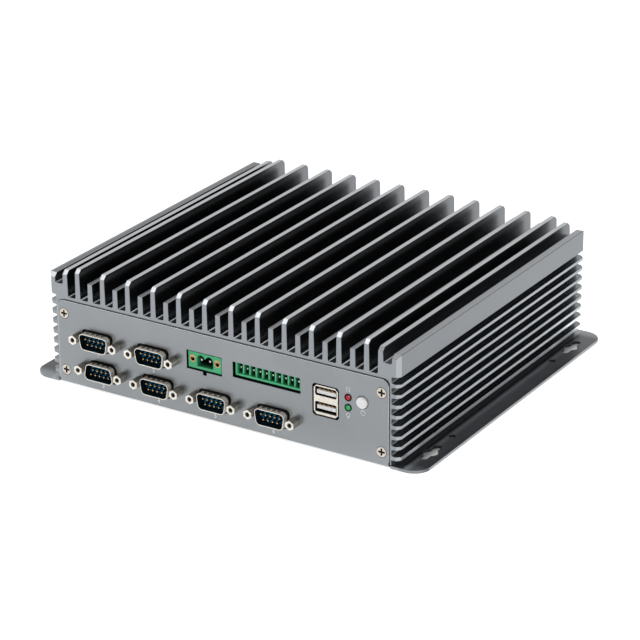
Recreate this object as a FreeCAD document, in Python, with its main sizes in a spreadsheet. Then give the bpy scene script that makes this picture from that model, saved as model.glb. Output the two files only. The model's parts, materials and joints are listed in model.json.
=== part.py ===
# Fanless industrial computer: a folded sheet chassis with mounting flanges, a finned
# aluminium extrusion over it, and the connectors, button and boards that it carries.
# Millimetres, +Z up. The origin is the middle of the chassis underside, the connector
# panel faces -Y.
import FreeCAD, Part
import math
import os
import Sketcher
from FreeCAD import Placement, Rotation, Vector

SIZES = {
    "chassis tray": {
        "tray_depth": 198.0,          # outer face of front panel to outer face of rear panel
        "flange_span": 237.0,         # across both mounting flanges
        "panel_wide": 199.8,
        "panel_high": 47.0,
        "sheet_gauge": 1.5,
        "bend_inside": 0.6,           # inner bend radius
        "panel_corner": 3.5,
        "flange_corner": 9.5,
        "relief_wide": 1.2,           # notch beside each bend
        "relief_deep": 3.4,
        "keyhole_x": 110.3,
        "keyhole_pitch": 151.0,
        "keyhole_long": 17.6,
        "keyhole_wide": 4.2,
        "keyhole_eye": 8.2,
        "pinhole_pitch": 108.0,
        "pinhole_wide": 3.6,
    },
    "finned housing": {
        "housing_setback": 0.8,       # end face behind the panel's outer face
        "housing_core": 202.0,        # across the side walls, at the fin roots
        "side_reach": 4.6,            # side fins beyond the wall
        "fin_pitch": 7.905,
        "fin_tip": 2.5,
        "fin_root": 3.1,
        "fin_top": 65.3,
        "short_top": 59.0,
        "step_top": 63.2,             # first fin in from each side wall
        "rim_top": 60.5,              # side wall
        "channel_floor": 49.0,
        "rim_floor": 55.6,            # shallow channel inside the side wall
        "floor_round": 0.9,
        "side_top_fin": 44.45,        # middle of the highest side fin
        "side_pitch": 5.57,
        "side_tip": 1.6,
        "side_root": 2.2,
        "side_round": 0.8,
        "end_chamfer": 2.0,
        "roof_under": 44.0,
        "wall_thick": 3.0,
        "boss_in": 6.5,               # screw bosses, inward from the wall
        "boss_low_top": 12.4,
        "boss_high_foot": 35.0,
        "panel_gap": 0.4,             # around the panel in its rebate
        "bend_relief": 0.2,           # housing clear of the tray's inner bend
    },
    "screws": {
        "screw_x": 95.9,
        "screw_low": 7.75,
        "screw_rise": 31.85,
        "screw_head": 6.0,
        "screw_shank": 2.4,
        "screw_long": 9.0,
        "tapped_wide": 2.5,
        "tapped_deep": 12.0,
        "tapped_lead": 0.5,           # bevel at a tapped hole's mouth, clear of the head's cone
        "clear_wide": 3.2,
        "recess_long": 3.4,           # cross recess
        "recess_wide": 0.95,
        "recess_deep": 0.9,
        "base_screw_x": 95.0,
        "base_screw_pitch": 62.0,
    },
    "serial ports": {
        "port_low": 11.7,
        "port_row": 16.4,
        "port_pitch": 35.1,
        "port_low_x": -72.25,
        "port_high_x": -74.95,
        "shell_wide": 18.6,           # at the long side, before its corners are rounded
        "shell_high": 9.1,
        "shell_slope": 10.0,          # degrees
        "shell_round": 2.6,
        "shell_wall": 0.45,
        "shell_proud": 4.2,
        "ear_wide": 30.8,
        "ear_high": 12.5,
        "ear_thick": 0.8,
        "jack_spacing": 24.99,
        "jack_across": 4.8,
        "jack_long": 5.0,
        "jack_bore": 2.5,
        "jack_bore_deep": 4.0,
        "jack_stud": 2.8,
        "jack_stud_long": 5.6,
        "nut_thick": 2.2,
        "nut_bore": 2.9,
        "plug_floor": 1.2,            # insulator face behind the panel's outer face
        "plug_back": 8.0,
        "pin_wide": 1.0,
        "pin_pitch": 2.77,
        "pin_row": 2.84,
        "pin_recess": 0.8,            # pin tips behind the shell's rim
        "port_clear": 0.75,           # panel cut-out around the shell
    },
    "power header": {
        "power_x": -8.0,
        "power_z": 31.8,
        "power_wide": 20.1,
        "power_high": 8.9,
        "power_deep": 12.0,
        "power_inset": 0.4,
        "power_gap": 0.5,
        "power_pitch": 5.08,
        "power_well_wide": 9.8,
        "power_well_foot": -3.1,
        "power_well_top": 1.6,
        "power_well_deep": 9.0,
        "power_lobe": 2.35,           # radius of the two humps
        "power_pin": 1.0,
        "power_pin_z": 0.6,
        "power_pin_inset": 1.3,
        "insert_spacing": 15.0,
        "insert_wide": 4.4,
        "insert_bore": 2.5,
        "insert_long": 8.0,
        "header_foot_front": 1.8,     # foot on the signal board, behind the panel
        "key_notch_wide": 2.3,
        "key_notch_deep": 2.2,
    },
    "signal header": {
        "signal_x": 29.4,
        "signal_z": 32.45,
        "signal_wide": 39.0,
        "signal_high": 7.2,
        "signal_deep": 9.2,
        "signal_inset": 1.3,
        "signal_gap": 0.4,
        "signal_pitch": 3.81,
        "signal_cell": 2.9,
        "signal_ledge": 1.1,
        "signal_rib_back": 0.8,
        "signal_well": 7.0,
        "signal_pin": 0.8,
        "signal_pin_z": 0.5,
        "signal_pin_inset": 3.0,
    },
    "usb stacks": {
        "usb_x": 63.9,
        "usb_z": 27.4,
        "usb_wide": 13.9,
        "usb_high": 15.8,
        "usb_deep": 17.5,
        "usb_inset": 0.15,
        "usb_notch": 1.5,             # cut across each corner of the shell
        "usb_gap": 0.8,
        "usb_corner": 1.9,
        "usb_mouth_wide": 12.5,
        "usb_mouth_round": 1.0,
        "usb_mouth_high": 4.9,
        "usb_mouth_deep": 14.5,
        "usb_upper": 4.75,
        "usb_lower": -3.45,
        "tongue_wide": 11.1,
        "tongue_thick": 2.1,
        "tongue_drop": 0.55,
        "tongue_inset": 0.7,
        "strip_wide": 1.1,
        "strip_thick": 0.3,
        "strip_pitch": 2.5,
        "strip_long": 7.5,
        "strip_setback": 0.5,         # contacts behind the tongue's tip
        "usb_rear_x": 30.0,
    },
    "lamps and button": {
        "lamp_x": 76.9,
        "lamp_high_z": 32.7,
        "lamp_low_z": 27.25,
        "lamp_wide": 3.0,
        "lamp_proud": 0.5,
        "lamp_deep": 7.0,
        "lamp_round": 0.9,
        "holder_wide": 3.9,
        "holder_rim": 4.5,
        "holder_lip": 0.3,
        "holder_bore": 3.1,
        "holder_deep": 5.0,
        "button_x": 85.1,
        "button_z": 32.0,
        "button_wide": 6.0,
        "button_proud": 1.2,
        "button_round": 0.4,
        "button_hole": 7.0,
        "button_collar": 8.4,
        "button_collar_thick": 1.0,
        "button_seat": 0.1,           # collar behind the panel at rest
        "button_stem": 3.0,
        "button_end": 6.2,
        "button_travel": 1.2,
        "switch_wide": 11.0,
        "switch_end": 12.0,
        "switch_well": 9.2,
        "switch_bore": 3.4,
        "switch_bore_end": 8.4,
    },
    "rear sockets": {
        "lan_x": -2.0,                # first of the two network sockets
        "lan_pitch": -20.0,
        "lan_wide": 16.0,
        "lan_high": 13.4,
        "lan_deep": 21.0,
        "lan_skin": 0.35,
        "lan_mouth_wide": 11.8,
        "lan_mouth_high": 7.0,
        "lan_mouth_foot": 3.0,
        "lan_mouth_deep": 13.0,
        "lan_key_wide": 6.2,
        "lan_key_high": 1.7,
        "lan_gap": 0.4,
        "display_x": 56.0,
        "display_wide": 15.2,
        "display_high": 5.9,
        "display_skin": 0.4,
        "display_slant": 1.6,
        "display_deep": 11.5,
        "display_tongue_wide": 11.6,
        "display_tongue_thick": 1.1,
        "display_gap": 0.4,
    },
    "boards and inner parts": {
        "board_top": 19.5,
        "board_thick": 1.6,
        "board_left": -86.0,
        "board_right": 90.0,
        "board_step_x": 52.0,         # the board reaches the front panel right of this
        "board_front": 17.0,          # board edge behind the panel, left of the step
        "board_lug": 3.0,             # board edge behind the panel, right of the step
        "board_rear": 3.0,
        "post_across": 5.0,
        "post_bore": 2.4,
        "post_x": 81.0,
        "post_front": 26.0,
        "post_back": 20.0,
        "board_screw_head": 5.4,
        "board_screw_high": 2.0,
        "board_screw_long": 6.0,
        "signal_board_top": 27.2,
        "signal_board_left": -21.0,
        "signal_board_right": 52.0,
        "signal_board_front": 2.6,
        "signal_board_deep": 30.0,
        "signal_post_left": -14.0,
        "signal_post_right": 45.0,
        "signal_post_y": 24.0,
        "chip_wide": 34.0,
        "chip_thick": 1.3,
        "die_wide": 14.0,
        "die_thick": 0.9,
        "chip_x": 14.0,
        "chip_y": 12.0,
        "block_wide": 42.0,
        "block_corner": 3.0,
        "pad_thick": 0.5,
        "memory_x": -49.0,
        "memory_y": 34.0,
        "memory_wide": 67.6,
        "memory_deep": 30.0,
        "memory_thick": 1.2,
        "memory_rise": 2.0,
        "memory_grip": 4.0,
        "memory_socket_deep": 8.0,
        "memory_socket_high": 4.6,
        "drive_x": 10.0,
        "drive_y": 18.0,
        "drive_wide": 69.9,
        "drive_deep": 100.0,
        "drive_high": 7.0,
        "drive_corner": 3.0,
        "cell_x": 66.0,
        "cell_y": -30.0,
        "cell_wide": 20.0,
        "cell_thick": 3.2,
        "cell_bed": 1.4,
        "cell_ring": 23.0,
        "cell_fit": 0.15,
    },
}

doc = FreeCAD.newDocument("fanless_computer")


class Length:
    """A size: the text of its spreadsheet expression, and its value now."""

    def __init__(self, text, value):
        self.text = text
        self.value = value

    def joined(self, sign, other, value, swapped=False):
        other_text = other.text if isinstance(other, Length) else repr(other)
        parts = (other_text, self.text) if swapped else (self.text, other_text)
        return Length("(%s %s %s)" % (parts[0], sign, parts[1]), value)

    def __add__(self, other):
        return self.joined("+", other, self.value + number(other))

    def __radd__(self, other):
        return self.joined("+", other, number(other) + self.value, True)

    def __sub__(self, other):
        return self.joined("-", other, self.value - number(other))

    def __rsub__(self, other):
        return self.joined("-", other, number(other) - self.value, True)

    def __mul__(self, other):
        return self.joined("*", other, self.value * number(other))

    def __rmul__(self, other):
        return self.joined("*", other, number(other) * self.value, True)

    def __truediv__(self, other):
        return self.joined("/", other, self.value / number(other))

    def __neg__(self):
        return 0 - self


def number(length):
    return length.value if isinstance(length, Length) else float(length)


def slope_of(angle):
    """Sideways step for each millimetre of rise, at an angle in degrees."""
    return Length("tan(%s * 1 deg)" % angle.text, math.tan(math.radians(angle.value)))


class Sheet:
    """The spreadsheet, read as lengths by alias."""

    def __init__(self, groups):
        self.table = doc.addObject("Spreadsheet::Sheet", "sizes")
        row = 1
        for title, cells in groups.items():
            self.table.set("A%d" % row, title)
            row += 1
            for alias, value in cells.items():
                self.table.set("A%d" % row, alias)
                self.table.set("B%d" % row, str(value))
                self.table.setAlias("B%d" % row, alias)
                row += 1
        doc.recompute()

    def __getattr__(self, alias):
        return Length("sizes." + alias, float(self.table.get(alias)))


c = Sheet(SIZES)
nodes = []
TOP, FRONT, SIDE = "XY_Plane", "XZ_Plane", "YZ_Plane"   # FRONT looks along +Y: its normal is -Y


def bind(thing, name, length):
    """Tie a property to the sheet, or set it where the size is a plain number."""
    if isinstance(length, Length):
        thing.setExpression(name, length.text)
    else:
        thing.setExpression(name, repr(float(length)))


def new_body(label, node=True):
    body = doc.addObject("PartDesign::Body", label)
    body.Label = label
    if node:
        nodes.append(body)
    return body


def origin_plane(body, role):
    return next(part for part in body.Origin.OriginFeatures if part.Role == role)


def new_sketch(body, role, level=0, across=0):
    """A sketch on one of the body's own planes, raised along that plane's normal."""
    sketch = body.newObject("Sketcher::SketchObject", body.Name + "_sketch")
    sketch.AttachmentSupport = [(origin_plane(body, role), "")]
    sketch.MapMode = "FlatFace"
    bind(sketch, "AttachmentOffset.Base.z", level)
    bind(sketch, "AttachmentOffset.Base.x", across)
    return sketch


def hold_point(sketch, geometry, end, x, y):
    """Fix one point of a sketch element by its distances from the sketch's origin."""
    for kind, length in (("DistanceX", x), ("DistanceY", y)):
        rule = sketch.addConstraint(Sketcher.Constraint(kind, -1, 1, geometry, end, number(length)))
        if isinstance(length, Length):
            sketch.setExpression("Constraints[%d]" % rule, length.text)


def hold_radius(sketch, geometry, radius):
    rule = sketch.addConstraint(Sketcher.Constraint("Radius", geometry, number(radius)))
    if isinstance(radius, Length):
        sketch.setExpression("Constraints[%d]" % rule, radius.text)


def outline(sketch, corners, rounds=None):
    """A closed outline of straight sides. rounds gives the radius at a corner's index."""
    first = sketch.GeometryCount
    count = len(corners)
    points = [Vector(number(x), number(y), 0) for x, y in corners]
    for i in range(count):
        sketch.addGeometry(Part.LineSegment(points[i], points[(i + 1) % count]))
    for i in range(count):
        after = first + (i + 1) % count
        sketch.addConstraint(Sketcher.Constraint("Coincident", first + i, 2, after, 1))
    for i, (x, y) in enumerate(corners):
        hold_point(sketch, first + i, 1, x, y)
    for i, radius in (rounds or {}).items():
        arc = sketch.GeometryCount
        sketch.fillet(first + i, 1, number(radius), True, True)
        hold_radius(sketch, arc, radius)
    return sketch


def rectangle(sketch, left, right, low, high, radius=None):
    corners = [(left, low), (right, low), (right, high), (left, high)]
    rounds = {i: radius for i in range(4)} if radius is not None else None
    return outline(sketch, corners, rounds)


def box_about(sketch, x, y, wide, high, radius=None):
    return rectangle(sketch, x - wide / 2, x + wide / 2, y - high / 2, y + high / 2, radius)


def circle(sketch, x, y, radius):
    ring = sketch.addGeometry(Part.Circle(Vector(number(x), number(y), 0),
                                          Vector(0, 0, 1), number(radius)))
    hold_point(sketch, ring, 3, x, y)
    hold_radius(sketch, ring, radius)
    return sketch


def hexagon(sketch, across):
    """A hexagon about the sketch's origin, with a corner at the top."""
    radius = across / math.sqrt(3)
    turns = [math.radians(30 + 60 * i) for i in range(6)]
    return outline(sketch, [(radius * math.cos(turn), radius * math.sin(turn)) for turn in turns])


def long_slot(sketch, x, y, length, wide):
    """A slot with round ends, lying along the sketch's second axis."""
    radius = wide / 2
    reach = length / 2 - radius
    cx, cy = number(x), number(y)
    r, h = number(radius), number(reach)
    up = Vector(0, 0, 1)
    far = sketch.addGeometry(Part.ArcOfCircle(Part.Circle(Vector(cx, cy + h, 0), up, r), 0, math.pi))
    left = sketch.addGeometry(Part.LineSegment(Vector(cx - r, cy + h, 0), Vector(cx - r, cy - h, 0)))
    near = sketch.addGeometry(Part.ArcOfCircle(Part.Circle(Vector(cx, cy - h, 0), up, r),
                                               math.pi, 2 * math.pi))
    right = sketch.addGeometry(Part.LineSegment(Vector(cx + r, cy - h, 0), Vector(cx + r, cy + h, 0)))
    for one, other in ((far, left), (left, near), (near, right), (right, far)):
        sketch.addConstraint(Sketcher.Constraint("Tangent", one, 2, other, 1))
    hold_point(sketch, far, 3, x, y + reach)
    hold_point(sketch, near, 3, x, y - reach)
    hold_radius(sketch, far, radius)
    sketch.addConstraint(Sketcher.Constraint("Equal", far, near))
    return sketch


def d_outline(sketch, wide, high, radius):
    """The D of a serial port: its long side on top, its ends sloping in."""
    lean = high * slope_of(c.shell_slope)
    corners = [(-(wide / 2 - lean), -(high / 2)), (wide / 2 - lean, -(high / 2)),
               (wide / 2, high / 2), (-(wide / 2), high / 2)]
    return outline(sketch, corners, {i: radius for i in range(4)})


def grow(body, sketch, length, middle=False, backward=False):
    """Pad a sketch along its normal, backward against it, or both ways alike."""
    pad = body.newObject("PartDesign::Pad", body.Name + "_pad")
    pad.Profile = sketch
    pad.SideType = "Symmetric" if middle else "One side"
    pad.Reversed = backward
    bind(pad, "Length", length)
    body.Tip = pad
    doc.recompute()
    return pad


def cut(body, sketch, length=None, middle=False, backward=False):
    """Pocket a sketch against its normal, backward along it, and see that it cut."""
    before = body.Shape.Volume
    pocket = body.newObject("PartDesign::Pocket", body.Name + "_pocket")
    pocket.Profile = sketch
    pocket.SideType = "Symmetric" if middle else "One side"
    pocket.Reversed = backward
    if length is None:
        pocket.Type = "ThroughAll"
    else:
        bind(pocket, "Length", length)
    body.Tip = pocket
    doc.recompute()
    if body.Shape.Volume >= before:
        raise RuntimeError("a pocket of %s cuts nothing" % body.Label)
    return pocket


def turn(body, sketch):
    """Revolve a sketch once about its own second axis."""
    spin = body.newObject("PartDesign::Revolution", body.Name + "_turn")
    spin.Profile = sketch
    spin.ReferenceAxis = (sketch, ["V_Axis"])
    spin.Angle = 360
    body.Tip = spin
    doc.recompute()
    return spin


def row_of(body, features, sketch, axis, span, count, backward=False):
    row = body.newObject("PartDesign::LinearPattern", body.Name + "_row")
    row.Originals = features
    row.Direction = (sketch, [axis])
    row.Reversed = backward
    bind(row, "Length", span)
    row.Occurrences = count
    body.Tip = row
    doc.recompute()
    return row


def mirrored(body, features, role):
    twin = body.newObject("PartDesign::Mirrored", body.Name + "_mirror")
    twin.Originals = features
    twin.MirrorPlane = (origin_plane(body, role), [""])
    body.Tip = twin
    doc.recompute()
    return twin


def edges_where(body, wanted):
    """Names of the tip's edges that a test on the edge's box and the edge picks."""
    found = []
    for i, edge in enumerate(body.Shape.Edges):
        if wanted(edge.BoundBox, edge):
            found.append("Edge%d" % (i + 1))
    if not found:
        raise RuntimeError("no edges found on %s" % body.Label)
    return found


def dress(body, kind, edges, size):
    base = body.Tip
    feature = body.newObject("PartDesign::" + kind, body.Name + "_" + kind.lower())
    feature.Base = (base, edges)
    bind(feature, "Radius" if kind == "Fillet" else "Size", size)
    body.Tip = feature
    doc.recompute()
    return feature


def near(one, other):
    return abs(one - number(other)) < 0.01


def place(body, x, y, z, spin=0, axis=Vector(0, 0, 1)):
    body.Placement = Placement(Vector(0, 0, 0), Rotation(axis, spin))
    bind(body, "Placement.Base.x", x)
    bind(body, "Placement.Base.y", y)
    bind(body, "Placement.Base.z", z)


def at_front(body, x, z, spin=0):
    """Put a piece made about the outer face of the front panel; spin turns it in that face."""
    place(body, x, -(c.tray_depth / 2), z, spin, Vector(0, 1, 0))


def at_rear(body, x, z):
    place(body, x, c.tray_depth / 2, z, 180)


def group(label, master, places):
    """One node of like pieces: a compound of links to one master body."""
    links = []
    for i, (x, y, z) in enumerate(places):
        link = doc.addObject("App::Link", "%s_link_%d" % (label, i))
        link.LinkedObject = master
        place(link, x, y, z)
        links.append(link)
    node = doc.addObject("Part::Compound", label)
    node.Label = label
    node.Links = links
    doc.recompute()
    nodes.append(node)
    return node


FRONT_FACE = c.tray_depth / 2           # level of the front panel's outer face
PORT_TOP = c.port_low + c.port_row
SERIAL_PORTS = [(c.port_high_x, PORT_TOP, 0), (c.port_high_x + c.port_pitch, PORT_TOP, 0)]
for step in range(4):                   # the first of the lower row stands on its head
    SERIAL_PORTS.append((c.port_low_x + c.port_pitch * step, c.port_low, 180 if step == 0 else 0))
PANEL_SCREWS = [(side * c.screw_x, c.screw_low + c.screw_rise * row)
                for side in (-1, 1) for row in (0, 1)]
BASE_SCREWS = [(side * c.base_screw_x, c.base_screw_pitch * row)
               for side in (-1, 1) for row in (-1, 0, 1)]
LAMPS = {"led_red": c.lamp_high_z, "led_green": c.lamp_low_z}
LAN_SOCKETS = [c.lan_x, c.lan_x + c.lan_pitch]
USB_STACKS = {"usb_front": (c.usb_x, at_front), "usb_rear": (c.usb_rear_x, at_rear)}
MAIN_POSTS = [(side * c.post_x, y) for side in (-1, 1)
              for y in (c.post_front - FRONT_FACE, FRONT_FACE - c.post_back)]
SIGNAL_POSTS = [(x, c.signal_post_y - FRONT_FACE) for x in (c.signal_post_left, c.signal_post_right)]
BOARD_FOOT = c.board_top - c.board_thick
DISPLAY_Z = c.board_top + c.display_high / 2
LAN_MOUTH_Z = c.board_top + c.lan_high / 2


# ---- chassis tray: base plate, flanges and two folded-up panels from one sheet ----

def chassis_tray():
    body = new_body("chassis_tray")
    half, gauge, high = FRONT_FACE, c.sheet_gauge, c.panel_high
    fold = new_sketch(body, SIDE)
    bend_outside = c.bend_inside + gauge
    outline(fold, [(-half, 0), (half, 0), (half, high), (half - gauge, high),
                   (half - gauge, gauge), (gauge - half, gauge), (gauge - half, high), (-half, high)],
            {0: bend_outside, 1: bend_outside, 4: c.bend_inside, 5: c.bend_inside})
    grow(body, fold, c.panel_wide, middle=True)

    flat = half - c.relief_deep
    inner = c.panel_wide / 2 - 2 * gauge
    edge = c.panel_wide / 2 + c.relief_wide
    outer = c.flange_span / 2
    flange = new_sketch(body, TOP)
    outline(flange, [(inner, -flat), (edge, -flat), (edge, -half), (outer, -half),
                     (outer, half), (edge, half), (edge, flat), (inner, flat)],
            {3: c.flange_corner, 4: c.flange_corner})
    right = grow(body, flange, gauge)
    mirrored(body, [right], SIDE)

    corners = edges_where(body, lambda box, edge: near(box.ZMin, high) and near(box.ZMax, high)
                          and near(box.YLength, gauge) and near(abs(box.XMin), c.panel_wide / 2))
    dress(body, "Fillet", corners, c.panel_corner)
    flange_holes(body)
    front_cutouts(body)
    rear_cutouts(body)
    screw_holes(body)


def flange_holes(body):
    slots = new_sketch(body, TOP)
    eyes = new_sketch(body, TOP)
    pinholes = new_sketch(body, TOP)
    for side in (-1, 1):
        for end in (-1, 1):
            x, y = side * c.keyhole_x, end * c.keyhole_pitch / 2
            long_slot(slots, x, y, c.keyhole_long, c.keyhole_wide)
            circle(eyes, x, y, c.keyhole_eye / 2)
            circle(pinholes, x, end * c.pinhole_pitch / 2, c.pinhole_wide / 2)
    for sketch in (slots, eyes, pinholes):
        cut(body, sketch, c.sheet_gauge, backward=True)


def front_cutouts(body):
    """Everything that looks through the front panel."""
    through = 2 * c.sheet_gauge
    for x, z, spin in SERIAL_PORTS:
        window = new_sketch(body, FRONT, FRONT_FACE)
        port_window(window, x, z, spin)
        cut(body, window, through)
    rest = new_sketch(body, FRONT, FRONT_FACE)
    for x, z, spin in SERIAL_PORTS:
        for side in (-1, 1):
            circle(rest, x + side * c.jack_spacing / 2, z, c.clear_wide / 2)
    box_about(rest, c.power_x, c.power_z, c.power_wide + 2 * c.power_gap, c.power_high + 2 * c.power_gap)
    box_about(rest, c.signal_x, c.signal_z, c.signal_wide + 2 * c.signal_gap,
              c.signal_high + 2 * c.signal_gap)
    usb_window(rest, c.usb_x)
    for z in LAMPS.values():
        circle(rest, c.lamp_x, z, c.holder_wide / 2 + 0.05)
    circle(rest, c.button_x, c.button_z, c.button_hole / 2)
    cut(body, rest, through)
    key = new_sketch(body, FRONT, FRONT_FACE)
    foot = c.power_z - c.power_high / 2 - c.power_gap
    box_about(key, c.power_x, foot, c.key_notch_wide, 2 * c.key_notch_deep)
    cut(body, key, through)


def port_window(sketch, x, z, spin):
    """A D-shaped cut-out, a little larger than the shell that looks through it."""
    grown = 2 * c.port_clear
    wide, high = c.shell_wide + grown, c.shell_high + grown
    lean = high * slope_of(c.shell_slope)
    up = -1 if spin else 1
    corners = [(x - (wide / 2 - lean), z - up * high / 2), (x + (wide / 2 - lean), z - up * high / 2),
               (x + wide / 2, z + up * high / 2), (x - wide / 2, z + up * high / 2)]
    outline(sketch, corners, {i: c.shell_round + c.port_clear for i in range(4)})


def usb_window(sketch, x):
    box_about(sketch, x, c.usb_z, c.usb_wide + 2 * c.usb_gap, c.usb_high + 2 * c.usb_gap, c.usb_corner)


def rear_cutouts(body):
    """Network, display and USB windows of the rear panel."""
    windows = new_sketch(body, FRONT, -FRONT_FACE)
    for x in LAN_SOCKETS:
        box_about(windows, x, LAN_MOUTH_Z, c.lan_wide + 2 * c.lan_gap, c.lan_high + 2 * c.lan_gap)
    usb_window(windows, c.usb_rear_x)
    box_about(windows, c.display_x, DISPLAY_Z, c.display_wide + 2 * c.display_gap,
              c.display_high + 2 * c.display_gap)
    cut(body, windows, 2 * c.sheet_gauge, backward=True)


def screw_holes(body):
    """Countersunk holes: four in each panel, six from below."""
    for level, backward in ((FRONT_FACE, False), (-FRONT_FACE, True)):
        holes = new_sketch(body, FRONT, level)
        for x, z in PANEL_SCREWS:
            circle(holes, x, z, c.clear_wide / 2)
        cut(body, holes, 2 * c.sheet_gauge, backward=backward)
    holes = new_sketch(body, TOP)
    for x, y in BASE_SCREWS:
        circle(holes, x, y, c.clear_wide / 2)
    cut(body, holes, 2 * c.sheet_gauge, backward=True)

    def rim(box, edge):
        on_panel = near(box.YLength, 0) and near(abs(box.YMin), FRONT_FACE)
        on_base = near(box.ZLength, 0) and near(box.ZMin, 0)
        screw_side = abs(box.Center.x) > number(c.base_screw_x) - 1 and abs(box.Center.x) < 100
        return screw_side and (on_panel or on_base) and near(box.XLength, c.clear_wide)

    dress(body, "Chamfer", edges_where(body, rim), (c.screw_head - c.clear_wide) / 2)


# ---- finned housing: one extrusion, its fins cut as tapered channels ----

def heatsink_housing():
    body = new_body("heatsink_housing")
    pitch = c.fin_pitch
    long = c.tray_depth - 2 * c.housing_setback
    outer = c.housing_core / 2 + c.side_reach
    root = c.housing_core / 2
    wall = root - c.wall_thick
    boss = wall - c.boss_in
    side_low = c.side_top_fin - 7 * c.side_pitch - c.side_root / 2
    right = [(boss, c.sheet_gauge), (root, c.sheet_gauge), (root, side_low), (outer, side_low),
             (outer, c.rim_top), (12.5 * pitch, c.rim_top), (12.5 * pitch, c.step_top),
             (11.5 * pitch, c.step_top), (11.5 * pitch, c.fin_top)]
    cavity = [(boss, c.roof_under), (boss, c.boss_high_foot), (wall, c.boss_high_foot),
              (wall, c.boss_low_top), (boss, c.boss_low_top)]
    section = right + [(-x, z) for x, z in reversed(right)]
    section += [(-x, z) for x, z in reversed(cavity)] + cavity
    profile = new_sketch(body, FRONT)
    outline(profile, section)
    grow(body, profile, long, middle=True)
    top_channels(body, pitch)
    side_channels(body, outer, root)
    end_chamfers(body, outer, long / 2)
    panel_rebates(body, long / 2)
    tapped_holes(body, long / 2)


def channel(sketch, middle, floor, top):
    """A channel between two fins: wider at the top, its floor corners rounded."""
    foot = (c.fin_pitch - c.fin_root) / 2
    mouth = (c.fin_pitch - c.fin_tip) / 2
    over = top + 1
    outline(sketch, [(middle - foot, floor), (middle + foot, floor), (middle + mouth, top),
                     (middle + mouth, over), (middle - mouth, over), (middle - mouth, top)],
            {0: c.floor_round, 1: c.floor_round})


def top_channels(body, pitch):
    first = new_sketch(body, FRONT)
    channel(first, -11.5 * pitch, c.channel_floor, c.fin_top)
    row_of(body, [cut(body, first, middle=True)], first, "H_Axis", 23 * pitch, 24)

    lowered = new_sketch(body, FRONT)             # every second fin stops short
    rectangle(lowered, -10.5 * pitch, -9.5 * pitch, c.short_top, c.fin_top + 1)
    row_of(body, [cut(body, lowered, middle=True)], lowered, "H_Axis", 20 * pitch, 11)

    shallow = new_sketch(body, FRONT)
    channel(shallow, 12.5 * pitch, c.rim_floor, c.step_top)
    mirrored(body, [cut(body, shallow, middle=True)], SIDE)


def side_channels(body, outer, root):
    """Eight channels down each side leave eight side fins under a smooth band."""
    mouth = (c.side_pitch - c.side_tip) / 2
    foot = (c.side_pitch - c.side_root) / 2
    middle = c.side_top_fin + c.side_pitch / 2
    sketch = new_sketch(body, FRONT)
    outline(sketch, [(root, middle - foot), (outer, middle - mouth), (outer + 1, middle - mouth),
                     (outer + 1, middle + mouth), (outer, middle + mouth), (root, middle + foot)],
            {0: c.side_round, 5: c.side_round})
    first = cut(body, sketch, middle=True)
    run = body.newObject("PartDesign::MultiTransform", "side_channel_rows")
    run.Originals = [first]
    row = body.newObject("PartDesign::LinearPattern", "side_channel_row")
    row.Direction = (sketch, ["V_Axis"])
    row.Reversed = True
    row.Occurrences = 8
    bind(row, "Length", 7 * c.side_pitch)
    twin = body.newObject("PartDesign::Mirrored", "side_channel_mirror")
    twin.MirrorPlane = (origin_plane(body, SIDE), [""])
    run.Transformations = [row, twin]
    body.Tip = run
    doc.recompute()


def end_chamfers(body, outer, half):
    """Bevel the ends of the fins: the tall tops, and the tips of the side fins."""
    tall = [number(c.fin_top), number(c.step_top), number(c.rim_top)]

    def on_end(box, edge):
        at_end = near(box.YLength, 0) and near(abs(box.YMin), half)
        flat_top = near(box.ZLength, 0) and any(near(box.ZMin, top) for top in tall)
        upright = near(box.XLength, 0) and near(abs(box.XMin), outer)
        return at_end and (flat_top or upright)

    dress(body, "Chamfer", edges_where(body, on_end), c.end_chamfer)


def panel_rebates(body, half):
    """A shallow seat in each end that the folded panel lies in."""
    deep = c.sheet_gauge - c.housing_setback
    side = c.panel_wide / 2 + c.panel_gap
    for level, backward in ((half, False), (-half, True)):
        seat = new_sketch(body, FRONT, level)
        outline(seat, [(-side, 0), (side, 0), (side, c.panel_high + c.panel_gap),
                       (-side, c.panel_high + c.panel_gap)],
                {2: c.panel_corner + c.panel_gap, 3: c.panel_corner + c.panel_gap})
        cut(body, seat, deep, backward=backward)


def tapped_holes(body, half):
    for level, backward in ((half, False), (-half, True)):
        holes = new_sketch(body, FRONT, level)
        for x, z in PANEL_SCREWS:
            circle(holes, x, z, c.tapped_wide / 2)
        cut(body, holes, c.tapped_deep, backward=backward)
    under = new_sketch(body, TOP)
    for x, y in BASE_SCREWS:
        circle(under, x, y, c.tapped_wide / 2)
    cut(body, under, c.boss_low_top - 2, backward=True)
    seat = half - (c.sheet_gauge - c.housing_setback)

    def mouth(box, edge):
        on_end = near(box.YLength, 0) and near(abs(box.YMin), seat)
        on_foot = near(box.ZLength, 0) and near(box.ZMin, c.sheet_gauge)
        return near(box.XLength, c.tapped_wide) and (on_end or on_foot)

    def foot_end(box, edge):
        low = near(box.ZMin, c.sheet_gauge) and near(box.ZMax, c.sheet_gauge)
        return low and near(box.YLength, 0) and near(abs(box.YMin), seat)

    dress(body, "Chamfer", edges_where(body, mouth), c.tapped_lead)
    dress(body, "Chamfer", edges_where(body, foot_end), c.bend_inside + c.bend_relief)


# ---- fasteners ----

def countersunk_screw():
    """Modelled point up, its head's face on the ground plane."""
    body = new_body("countersunk_screw", node=False)
    half = new_sketch(body, FRONT)
    cone = (c.screw_head - c.screw_shank) / 2
    outline(half, [(0, 0), (c.screw_head / 2, 0), (c.screw_shank / 2, cone),
                   (c.screw_shank / 2, c.screw_long), (0, c.screw_long)])
    turn(body, half)
    cross_recess(body, 0, backward=True)
    return body


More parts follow.
